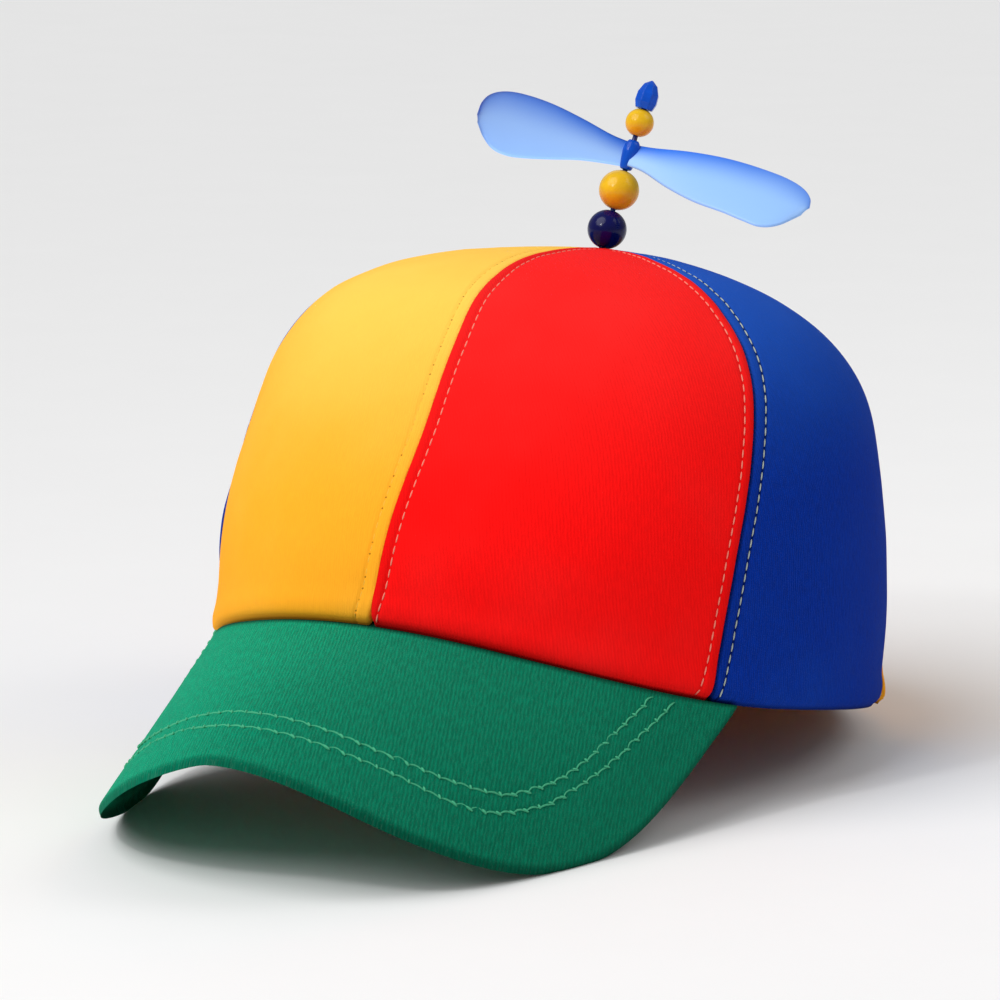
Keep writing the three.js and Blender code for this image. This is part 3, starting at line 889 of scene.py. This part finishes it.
def bead_material(name, colour, swirl_colour, swirl_share, shaded_colour=None):
    """A polished bead with slow swirls in its glossy surface, and painted shade in another colour on its
    under side.
    """
    material, tree, shader = new_material(name)
    solid = add_node(tree, "TexCoord", {}).outputs["Object"]
    if shaded_colour:
        # Painted shade: the under side turns darker and more orange
        facing = add_node(tree, "NewGeometry", {}).outputs["Normal"]
        upwards = add_node(tree, "SeparateXYZ", {"Vector": facing}).outputs["Z"]
        colour = mix(tree, soft_step(tree, upwards, -0.7, 0.35), shaded_colour, colour)
    cloud = add_node(tree, "TexNoise", {"Vector": solid, "Scale": 190, "Detail": 3.0, "Distortion": 1.4})
    swirl = soft_step(tree, cloud.outputs["Fac"], 0.4, 0.68)
    scuffs = grain(tree, solid, 1500, 2.0)
    set_shader(tree, shader, {
        "Base Color": mix(tree, maths(tree, "MULTIPLY", swirl, swirl_share), colour, swirl_colour),
        "Roughness": maths(tree, "ADD", 0.12, maths(tree, "MULTIPLY", scuffs, 0.12)),
        "Specular IOR Level": 0.22,
        "Normal": bumped(tree, scuffs, 0.00002, 0.4),
    })
    return material


def blade_material():
    """Thin moulded plastic: milky, with painted shade in a deeper blue along the upper edge near the hub.
    """
    material, tree, shader = new_material("milky_blue_plastic")
    palette = colours()
    across = attribute(tree, "blade_across")
    along = attribute(tree, "blade_along")
    solid = add_node(tree, "TexCoord", {}).outputs["Object"]
    flow = grain(tree, solid, 45, 2.0)
    level = maths(tree, "ADD", across, maths(tree, "MULTIPLY", maths(tree, "SUBTRACT", flow, 0.5), 0.12))
    # Painted shade: a deeper blue along the upper edge near the hub
    depth = soft_step(tree, maths(tree, "ADD", level, maths(tree, "MULTIPLY", along, -0.3)), 0.2, 1.0)
    fine = grain(tree, solid, 900, 2.0)
    set_shader(tree, shader, {
        "Base Color": mix(tree, depth, palette.blade_pale, palette.blade_shaded),
        "Roughness": maths(tree, "ADD", 0.3, maths(tree, "MULTIPLY", fine, 0.12)),
        "Specular IOR Level": 0.3,
        "Normal": bumped(tree, fine, 0.00002, 0.5),
    })
    return material


def wire_material():
    """Enamelled wire, with small worn places that show the metal."""
    material, tree, shader = new_material("enamelled_wire")
    solid = add_node(tree, "TexCoord", {}).outputs["Object"]
    patchy = soft_step(tree, grain(tree, solid, 700, 3.0), 0.66, 0.74)
    set_shader(tree, shader, {
        "Base Color": mix(tree, patchy, colours().wire, (0.5, 0.5, 0.52)),
        "Metallic": maths(tree, "MULTIPLY", patchy, 0.9),
        "Roughness": 0.32,
        "Normal": bumped(tree, patchy, -0.00003),
    })
    return material


def floor_material():
    """A plain pale floor with a faint mottle."""
    material, tree, shader = new_material("pale_floor")
    solid = add_node(tree, "TexCoord", {}).outputs["Object"]
    mottle = grain(tree, solid, 18, 4.0, 0.6)
    colour = colours().floor
    set_shader(tree, shader, {
        "Base Color": mix(tree, mottle, shade(colour, 0.985), shade(colour, 1.01)),
        "Roughness": 0.9,
        "Specular IOR Level": 0.1,
        "Normal": bumped(tree, mottle, 0.0005, 0.3),
    })
    return material


# Making pieces


def add_piece(bm, name, materials, body, replaced=(), smooth=True):
    """Makes a finished mesh into a piece that rides on a body of the model."""
    for face in bm.faces:
        face.smooth = smooth
    mesh = bpy.data.meshes.new(name)
    bm.to_mesh(mesh)
    bm.free()
    piece = bpy.data.objects.new(name, mesh)
    bpy.context.scene.collection.objects.link(piece)
    for material in materials:
        mesh.materials.append(material)
    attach(piece, body)
    if replaced:
        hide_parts(*replaced)
    return piece


def unit_grid(columns, rows):
    """A flat sheet from (0, 0) to (1, 1), to be shaped."""
    bm = bmesh.new()
    bmesh.ops.create_grid(bm, x_segments=columns, y_segments=rows, size=0.5)
    bmesh.ops.translate(bm, verts=bm.verts, vec=(0.5, 0.5, 0))
    return bm


def set_cloth_map(bm, places):
    """Gives a sheet its flat pattern, in metres, so that the weave follows the cloth."""
    layer = bm.loops.layers.uv.new("cloth")
    for face in bm.faces:
        for loop in face.loops:
            loop[layer].uv = places[loop.vert]


def thicken(piece, thickness, inner_material):
    """Gives a sheet its thickness, inwards, and rounds its cut edges."""
    solid = piece.modifiers.new("thickness", "SOLIDIFY")
    solid.thickness = thickness
    solid.offset = -1
    solid.material_offset = inner_material
    edge = piece.modifiers.new("rounding", "BEVEL")
    edge.width = thickness * 0.3
    edge.segments = 3
    edge.limit_method = "ANGLE"
    edge.angle_limit = math.radians(50)


def close_and_place(bm, merge_distance, place):
    """Merges a shape's doubled points, turns its faces outwards and sets it in its place."""
    bmesh.ops.remove_doubles(bm, verts=bm.verts, dist=merge_distance)
    bmesh.ops.recalc_face_normals(bm, faces=bm.faces)
    bmesh.ops.transform(bm, matrix=place, verts=bm.verts)


def doubled(bm):
    """Adds a second layer to a sheet, joined to it at the edge, and gives that layer's points."""
    made = bmesh.ops.extrude_face_region(bm, geom=bm.faces[:])["geom"]
    return {item for item in made if isinstance(item, bmesh.types.BMVert)}


def turned(profile, segments, place):
    """A shape turned about the post from a profile of (radius, height)."""
    bm = bmesh.new()
    verts = [bm.verts.new((radius, 0, height)) for radius, height in profile]
    edges = [bm.edges.new(pair) for pair in zip(verts, verts[1:])]
    whole = {"angle": 2 * math.pi, "steps": segments, "use_merge": True}
    bmesh.ops.spin(bm, geom=verts + edges, cent=(0, 0, 0), axis=(0, 0, 1), **whole)
    close_and_place(bm, MERGE_DISTANCE, place)
    return bm


def outlined(outline, steps):
    """A smooth curve of (radius, height) through a few points of a profile."""
    stations = {
        "at": tuple(range(len(outline))),
        "radius": tuple(radius for radius, _ in outline),
        "height": tuple(height for _, height in outline),
    }
    last = len(outline) - 1
    places = [last * step / steps for step in range(steps + 1)]
    return [(station_value(stations, "radius", p), station_value(stations, "height", p)) for p in places]


class BEANIE_OT_crown(bpy.types.Operator):
    """Sews the crown's six panels and the tapes behind their seams"""

    bl_idname = "beanie.crown"
    bl_label = "Crown"

    def execute(self, context):
        palette = colours()
        # Each cloth: its colour, its paler colour for faded patches and painted light, the ribs' spacing
        # and slant, and the contrast
        cloths = {
            "red": (palette.red, palette.red_paler, 0.00083, math.radians(-20), 0.12),
            "blue": (palette.blue, palette.blue_paler, 0.0007, math.radians(-12), 0.2),
            "yellow": (palette.yellow, palette.yellow_paler, 0.0007, math.radians(-10), 0.035),
        }
        # Its outer face is also paler towards the top in painted light, and is marked along its seams and
        # rows: needle holes, painted furrow shadow, a darker strip and a darker seam edge
        outside = {
            "red": {"top_light": 0.3, "sewing_and_shade": (0, 0.12, 0.16, 0.3)},
            "blue": {"top_light": 0.8, "sewing_and_shade": (0, 0.75, 0.12, 0.5), "lint": 0.12},
            "yellow": {"top_light": 0.6, "sewing_and_shade": (0.7, 0, 0, 0.15)},
        }
        faces = {name: twill(name + "_twill", *cloths[name], **outside[name]) for name in cloths}
        backs = {name: twill(name + "_twill_back", *cloths[name]) for name in cloths}
        for number, (name, cloth) in enumerate(PANELS):
            self.panel(number, name, cloth, (faces[cloth], backs[cloth]))
        tape = twill("seam_tape", palette.tape, shade(palette.tape, 1.6), 0.0006, math.radians(40), 0.2)
        for number in range(len(PANELS)):
            self.tape(number, tape)
        return {"FINISHED"}

    def panel(self, number, name, cloth, materials):
        """One panel: a sheet drawn up from the hem to the top, rolled into its two seams."""
        bm = unit_grid(PANEL_COLUMNS, PANEL_ROWS)
        seam_layer = bm.verts.layers.float.new("seam_distance")
        row_layer = bm.verts.layers.float.new("row_distance")
        length_layer = bm.verts.layers.float.new("row_length")
        hem_layer = bm.verts.layers.float.new("hem_distance")
        rows = (crown_row(number, 0), crown_row(number, 1))
        places = {}
        for vert in bm.verts:
            share, climb = vert.co.x, vert.co.y
            side = 0 if share <= 0.5 else 1
            column = 1 - abs(2 * share - 1)
            edge = column_place(column, HEM_HALF_WIDTH)
            seam_angle = (number + side) * PANEL_ANGLE
            inwards = 1 if side == 0 else -1
            foot = hem_at(seam_angle + inwards * PANEL_ANGLE / 2 * edge)
            slack = max(1 - edge * HEM_HALF_WIDTH / CORNER_RADIUS, 0)
            foot += CORNER_RADIUS * (1 - math.sqrt(1 - slack * slack)) / HEM_CLIMB
            at = foot + (TOP_AT - foot) * climb**HEM_BUNCHING
            half = half_width(seam_angle + inwards * PANEL_ANGLE / 4, at)
            seam_distance = SEAM_GAP / 2 + (half - SEAM_GAP / 2) * column_place(column, half)
            hem_distance = (at - foot) * HEM_CLIMB
            vert.co, _, _ = cloth_spot(number, side, seam_distance, at, hem_distance)
            vert[seam_layer] = seam_distance
            vert[row_layer] = seam_distance - row_inset(side, at, hem_at(seam_angle))
            vert[length_layer] = rows[side].length_at(at)
            vert[hem_layer] = hem_distance
            places[vert] = ((half - seam_distance) * -inwards, at * PANEL_LENGTH)
        set_cloth_map(bm, places)
        bmesh.ops.transform(bm, matrix=CAP_PLACE, verts=bm.verts)
        piece = add_piece(bm, "cloth_" + name, materials, "cap", ("panel_" + name,))
        thicken(piece, sizes().cloth_thickness, 1)

    def tape(self, number, material):
        """The tape behind one seam: it follows the inside of the two panels."""
        width = sizes().tape_width
        under = sizes().cloth_thickness + TAPE_CLEARANCE
        bm = unit_grid(12, 60)
        angle = number * PANEL_ANGLE
        start = hem_at(angle) + TAPE_START
        places = {}
        for vert in bm.verts:
            at = start + (TAPE_END - start) * vert.co.y
            offset = (vert.co.x - 0.5) * min(width, TAPE_TAPER * half_width(angle, at))
            speed = half_width(angle, at) / (PANEL_ANGLE / 2)
            point, _, normal = crown_spot(angle + offset / speed, at)
            dip = TAPE_DIP * hill(offset, 0, TAPE_DIP_WIDTH) + RIPPLE_HEIGHT
            dip += max(-slow_wave(point, abs(offset)), 0)
            places[vert] = (offset, at * PANEL_LENGTH)
            vert.co = point - normal * (under + dip)
        set_cloth_map(bm, places)
        bmesh.ops.transform(bm, matrix=CAP_PLACE, verts=bm.verts)
        piece = add_piece(bm, "seam_tape_%d" % (number + 1), (material,), "cap")
        thicken(piece, TAPE_THICKNESS, 0)


class BEANIE_OT_peak(bpy.types.Operator):
    """Shapes the covered peak and sews its two rows of stitches"""

    bl_idname = "beanie.peak"
    bl_label = "Peak"

    def execute(self, context):
        rows = {name: peak_row(table) for name, table in PEAK_STITCH_ROWS.items()}
        self.board(rows)
        thread = thread_material("mint_thread", colours().mint_thread)
        for name, row in rows.items():
            self.stitches(name, row, thread)
        return {"FINISHED"}

    def board(self, rows):
        """The peak itself: a covered board with a round edge, pulled in along its stitches."""
        tree = row_tree(rows.values())
        tucked = len(PEAK_TUCK)
        most = PEAK_THICKNESS / 2
        bm = unit_grid(PEAK_COLUMNS, PEAK_ROWS)
        lower = doubled(bm)
        shade_layer = bm.verts.layers.float.new("shade")
        flat = set()
        places = {}
        for vert in bm.verts:
            across = math.sin(math.pi / 2 * (2 * vert.co.x - 1))
            row = round(vert.co.y * PEAK_ROWS)
            share = 1 - (1 - max(row - tucked, 0) / (PEAK_ROWS - tucked)) ** 2
            inwards, up = PEAK_TUCK[row] if row < tucked else (0, 0)
            reach = peak_reach(across) * share - inwards
            point, normal = peak_spot(across, reach)
            from_rim = (1 - rim_nearness(across, reach)) * PEAK_LENGTH
            edge = min(max(from_rim, 0) / most, 1)
            round_edge = (1 - (1 - edge) ** PEAK_EDGE_SQUARENESS) ** (1 / PEAK_EDGE_SQUARENESS)
            groove = PEAK_GROOVE * hill(tree.find(point)[2], 0, PEAK_GROOVE_WIDTH)
            lift = (most - groove) * round_edge
            soft = PEAK_WAVE_HEIGHT * noise.noise(point * PEAK_WAVE_SCALE)
            side = -1 if vert in lower else 1
            depth = (1 - side * lift / most) / 2
            flare = RIM_FLARE * depth * hill(from_rim, 0, RIM_FLARE_REACH)
            if vert in lower and edge > UNDER_SHADE_START:
                flat.add(vert)
            vert[shade_layer] = peak_shade(across, reach, edge)
            places[vert] = (across * PEAK_HALF_ANGLE * PEAK_HEM_RADIUS, reach)
            vert.co = point + normal * (side * lift - most + soft)
            vert.co += peak_outwards(point, across, reach) * flare
            vert.co.z += up
        set_cloth_map(bm, places)
        for face in bm.faces:
            if flat.issuperset(face.verts):
                face.material_index = 1
        close_and_place(bm, PEAK_MERGE_DISTANCE, CAP_PLACE)
        for vert in bm.verts:
            vert.co.z = max(vert.co.z, 0)
        palette = colours()
        weave = (0.00092, math.radians(24), 0.26)
        # The top takes painted shade from the shade attribute; the under side is a darker copy of the
        # cloth, painted shade
        cloth = twill("green_twill", palette.green, palette.green_faded, *weave, lint=0.4, shaded=True)
        under = twill("green_twill_under_shaded", shade(palette.green, 0.3), palette.green, *weave)
        add_piece(bm, "peak_cover", (cloth, under), "cap", ("peak",))

    def stitches(self, name, row, material):
        """One row of stitches on the top of the peak, with a small knot between every two."""
        size = sizes()
        bm = bmesh.new()
        pitch = size.peak_stitch_pitch
        width = size.peak_thread_width
        for number in range(int(row.lengths[-1] / pitch)):
            uneven = noise.noise(Vector((number * 0.73, 0.4, len(name))))
            point, along, normal = row.spot((number + 0.5) * pitch)
            bow = size.peak_stitch_bow * (1 + 0.9 * uneven)
            deep = point - normal * STITCH_SINK
            add_stitch(bm, deep, along, normal, pitch * 1.02, width, width * 1.4, bow)
            knot, along, normal = row.spot((number + 0.04) * pitch)
            slant = (along * (0.65 + uneven) - normal.cross(along) * 0.8).normalized()
            back = knot - slant * KNOT_SHIFT
            length = KNOT_LENGTH + KNOT_SPREAD * uneven
            add_stitch(bm, back, slant, normal, length, width * 1.25, width * 1.8)
        bmesh.ops.transform(bm, matrix=CAP_PLACE, verts=bm.verts)
        add_piece(bm, "peak_stitches_" + name, (material,), "cap")


class BEANIE_OT_topstitching(bpy.types.Operator):
    """Sews a row of topstitching beside each seam of each panel"""

    bl_idname = "beanie.topstitching"
    bl_label = "Topstitching"

    def execute(self, context):
        palette = colours()
        threads = {
            "red": thread_material("coral_thread", palette.coral_thread),
            "blue": thread_material("cream_thread", palette.cream_thread),
            "yellow": thread_material("yellow_thread", palette.yellow_thread),
        }
        size = sizes()
        width = size.thread_width
        for number, (name, cloth) in enumerate(PANELS):
            bm = bmesh.new()
            for side in (0, 1):
                row = crown_row(number, side)
                for stitch in range(int(row.lengths[-1] / size.stitch_pitch)):
                    point, along, normal = row.spot((stitch + 0.5) * size.stitch_pitch)
                    point += normal * width * STITCH_LIFTS[cloth]
                    add_stitch(bm, point, along, normal, size.stitch_length, width, width)
            bmesh.ops.transform(bm, matrix=CAP_PLACE, verts=bm.verts)
            add_piece(bm, "topstitch_" + name, (threads[cloth],), "cap")
        return {"FINISHED"}


class BEANIE_OT_post(bpy.types.Operator):
    """Stands up the wire post with its beads and the finial"""

    bl_idname = "beanie.post"
    bl_label = "Post and beads"

    def execute(self, context):
        palette = colours()
        self.wire()
        navy = bead_material("navy_bead", palette.navy, shade(palette.navy, 1.8), 0.3)
        pearly = shade(palette.amber, 1.5)
        amber = bead_material("amber_bead", palette.amber, pearly, 0.3, palette.amber_shaded)
        self.bead("bead_ball_navy", NAVY_HEIGHT, NAVY_RADIUS, navy, "navy_gloss", "bead_navy")
        self.bead("bead_ball_large", LARGE_HEIGHT, LARGE_RADIUS, amber, "amber_gloss", "bead_yellow_large")
        self.bead("bead_ball_small", SMALL_HEIGHT, SMALL_RADIUS, amber, "amber_gloss", "bead_yellow_small")
        self.finial()
        return {"FINISHED"}

    def wire(self):
        """The wire, from a flat disc inside the crown to its end in the finial."""
        disc_top = CROWN_TOP - DISC_DROP
        disc_foot = disc_top - DISC_THICKNESS
        profile = [
            (0, disc_foot),
            (DISC_RADIUS - DISC_ROUND, disc_foot),
            (DISC_RADIUS, disc_foot + DISC_ROUND),
            (DISC_RADIUS, disc_top - WIRE_ROUND),
            (DISC_RADIUS - WIRE_ROUND, disc_top),
            (POST_RADIUS * 1.3, disc_top),
            (POST_RADIUS, disc_top + DISC_ROUND),
            (POST_RADIUS, POST_TOP - WIRE_ROUND),
            (POST_RADIUS * 0.7, POST_TOP),
            (0, POST_TOP),
        ]
        bm = turned(profile, 24, POST_PLACE)
        add_piece(bm, "post_wire", (wire_material(),), "cap", ("post",))

    def bead(self, name, height, radius, material, slot, node):
        """A round bead with a smooth dimple where the wire goes through."""
        steps = 26
        lip = math.asin((BEAD_BORE + DIMPLE_WIDTH) / radius)
        arc = [lip + (math.pi - 2 * lip) * step / steps for step in range(steps + 1)]
        ball = [(radius * math.sin(a), height - radius * math.cos(a)) for a in arc]
        inside = radius * math.cos(lip) - DIMPLE_DEPTH
        foot = (BEAD_BORE, height - inside)
        profile = [foot, *ball, (BEAD_BORE, height + inside), foot]
        add_piece(turned(profile, 40, POST_PLACE), name, (material,), "cap", (node,))

    def finial(self):
        """The faceted finial on the end of the wire, its foot hollowed over the small bead."""
        profile = [(FINIAL_RADIUS * r, FINIAL_FOOT + FINIAL_HEIGHT * h) for r, h in FINIAL_OUTLINE]
        bm = turned(profile, FINIAL_SIDES, POST_PLACE)
        bmesh.ops.bevel(
            bm, geom=bm.edges[:], offset=FINIAL_BEVEL, segments=2, profile=0.5, affect="EDGES", material=-1
        )
        cobalt = bead_material("cobalt_finial", colours().cobalt, shade(colours().cobalt, 1.8), 0.4)
        add_piece(bm, "finial_cut", (cobalt,), "cap", ("finial",), smooth=False)


class BEANIE_OT_propeller(bpy.types.Operator):
    """Moulds the propeller: its hub and two twisted blades"""

    bl_idname = "beanie.propeller"
    bl_label = "Propeller"

    def execute(self, context):
        place = POST_PLACE @ Matrix.Rotation(PROPELLER_TURN, 4, "Z")
        self.hub(place)
        plastic = blade_material()
        self.blade("propeller_blade_left", 1, LEFT_BLADE_DROOP, plastic, place)
        self.blade("propeller_blade_right", -1, 0, plastic, place)
        return {"FINISHED"}

    def hub(self, place):
        """The hub: a small drop with a bore for the wire."""
        half = HUB_HEIGHT / 2
        outline = outlined([(HUB_RADIUS * r, half * h) for r, h in HUB_OUTLINE], 24)
        profile = [(HUB_BORE, -half), *outline, (HUB_BORE, half), (HUB_BORE, -half)]
        bm = turned(profile, 32, place)
        cobalt = bead_material("cobalt_hub", colours().cobalt, shade(colours().cobalt, 1.6), 0.4)
        add_piece(bm, "propeller_hub", (cobalt,), "propeller", ("propeller",))

    def blade(self, name, side, droop, material, place):
        """One blade: a thin curved leaf with a round edge, twisted along its length."""
        bm = unit_grid(28, 64)
        behind = doubled(bm)
        across_layer = bm.verts.layers.float.new("blade_across")
        along_layer = bm.verts.layers.float.new("blade_along")
        root = BLADE_ROOT / BLADE_LENGTH
        hand = "left" if side > 0 else "right"
        for vert in bm.verts:
            across = math.sin(math.pi / 2 * (2 * vert.co.x - 1)) / 2
            along = root + (1 - root) * math.sin(math.pi / 2 * vert.co.y)
            upper = BLADE_WIDTH * station_value(BLADE_STATIONS, "upper", along)
            lower = BLADE_WIDTH * station_value(BLADE_STATIONS, hand + "_lower", along)
            width = upper + lower
            pitch = math.radians(station_value(BLADE_STATIONS, hand + "_pitch", along))
            chord = Vector((0, side * math.cos(pitch), math.sin(pitch)))
            out = Vector((0, -side * math.sin(pitch), math.cos(pitch)))
            middle = Vector((side * BLADE_LENGTH * along, BLADE_SWEEP * along**2, -droop * along**2))
            bow = BLADE_CAMBER * (width / BLADE_WIDTH) * (1 - 4 * across * across)
            edge = min(width * (0.5 - abs(across)), BLADE_LENGTH * (1 - along)) / (BLADE_THICKNESS / 2)
            half = BLADE_THICKNESS / 2 * math.sqrt(1 - (1 - min(edge, 1)) ** 2)
            layer = -1 if vert in behind else 1
            vert[across_layer] = across + 0.5
            vert[along_layer] = along
            vert.co = middle + chord * (width * across + (upper - lower) / 2) + out * (bow + layer * half)
        close_and_place(bm, MERGE_DISTANCE, place)
        add_piece(bm, name, (material,), "propeller")


class BEANIE_OT_stage(bpy.types.Operator):
    """Sets up the floor, the soft lights and the camera"""

    bl_idname = "beanie.stage"
    bl_label = "Stage"

    def execute(self, context):
        scene = context.scene
        scene.view_settings.view_transform = "Standard"
        self.floor(scene)
        self.world(scene)
        self.key_light(scene)
        for name, direction, distance, size, power in SMALL_LAMPS:
            lamp = bpy.data.lights.new(name, "AREA")
            lamp.size = size
            lamp.energy = power
            self.stand(scene, name, lamp, direction, distance)
        self.camera(scene)
        return {"FINISHED"}

    def camera(self, scene):
        """The camera at the photograph's place."""
        camera = bpy.data.cameras.new("camera")
        camera.lens = CAMERA_LENS
        camera.sensor_width = FILM_WIDTH
        camera.clip_start = 0.05
        stand = bpy.data.objects.new("camera", camera)
        stand.location = CAMERA_PLACE
        stand.rotation_mode = "QUATERNION"
        aim = (CAMERA_AIM - CAMERA_PLACE).to_track_quat("-Z", "Y")
        stand.rotation_quaternion = aim @ Quaternion((0, 0, 1), CAMERA_ROLL)
        scene.collection.objects.link(stand)
        scene.camera = stand

    def floor(self, scene):
        """A wide plain floor."""
        bm = bmesh.new()
        bmesh.ops.create_grid(bm, x_segments=1, y_segments=1, size=FLOOR_REACH)
        mesh = bpy.data.meshes.new("floor")
        bm.to_mesh(mesh)
        bm.free()
        mesh.materials.append(floor_material())
        floor = bpy.data.objects.new("floor", mesh)
        scene.collection.objects.link(floor)

    def world(self, scene):
        """Even pale light from all round."""
        world = bpy.data.worlds.new("studio")
        world.use_nodes = True
        background = world.node_tree.nodes["Background"]
        background.inputs["Color"].default_value = (1, 1, 1, 1)
        background.inputs["Strength"].default_value = WORLD_STRENGTH
        scene.world = world

    def key_light(self, scene):
        """The main light: a wide soft sun."""
        lamp = bpy.data.lights.new("key", "SUN")
        lamp.energy = KEY_STRENGTH
        lamp.angle = math.radians(KEY_SOFTNESS)
        self.stand(scene, "key", lamp, KEY_DIRECTION, KEY_DISTANCE)

    def stand(self, scene, name, lamp, direction, distance):
        """Sets a lamp up so that it shines on the middle of the cap."""
        azimuth, elevation = (math.radians(angle) for angle in direction)
        back = Vector((
            math.sin(azimuth) * math.cos(elevation),
            -math.cos(azimuth) * math.cos(elevation),
            math.sin(elevation),
        ))
        stand = bpy.data.objects.new(name, lamp)
        stand.location = CAMERA_AIM + back * distance
        stand.rotation_mode = "QUATERNION"
        stand.rotation_quaternion = (-back).to_track_quat("-Z", "Y")
        scene.collection.objects.link(stand)


OPERATORS = (
    BEANIE_OT_crown,
    BEANIE_OT_topstitching,
    BEANIE_OT_peak,
    BEANIE_OT_post,
    BEANIE_OT_propeller,
    BEANIE_OT_stage,
)


class BEANIE_PT_sidebar(bpy.types.Panel):
    """Lists the pieces, sizes and colours of the beanie"""

    bl_label = "Beanie"
    bl_idname = "BEANIE_PT_sidebar"
    bl_space_type = "VIEW_3D"
    bl_region_type = "UI"
    bl_category = "Beanie"

    def draw(self, context):
        layout = self.layout
        for operator in OPERATORS:
            layout.operator(operator.bl_idname)
        for group in (context.scene.beanie_sizes, context.scene.beanie_colours):
            box = layout.box()
            for name in group.bl_rna.properties.keys():
                if name not in {"rna_type", "name"}:
                    box.prop(group, name)


CLASSES = (BeanieSizes, BeanieColours, *OPERATORS, BEANIE_PT_sidebar)


def register():
    """Adds the classes, and the sizes and colours to the scene."""
    for each in CLASSES:
        bpy.utils.register_class(each)
    bpy.types.Scene.beanie_sizes = PointerProperty(type=BeanieSizes)
    bpy.types.Scene.beanie_colours = PointerProperty(type=BeanieColours)


def unregister():
    """Takes away what register added."""
    del bpy.types.Scene.beanie_colours
    del bpy.types.Scene.beanie_sizes
    for each in reversed(CLASSES):
        bpy.utils.unregister_class(each)


def main():
    """Makes every piece."""
    register()
    bpy.ops.beanie.crown()
    bpy.ops.beanie.topstitching()
    bpy.ops.beanie.peak()
    bpy.ops.beanie.post()
    bpy.ops.beanie.propeller()
    bpy.ops.beanie.stage()


if __name__ == "__main__":
    main()
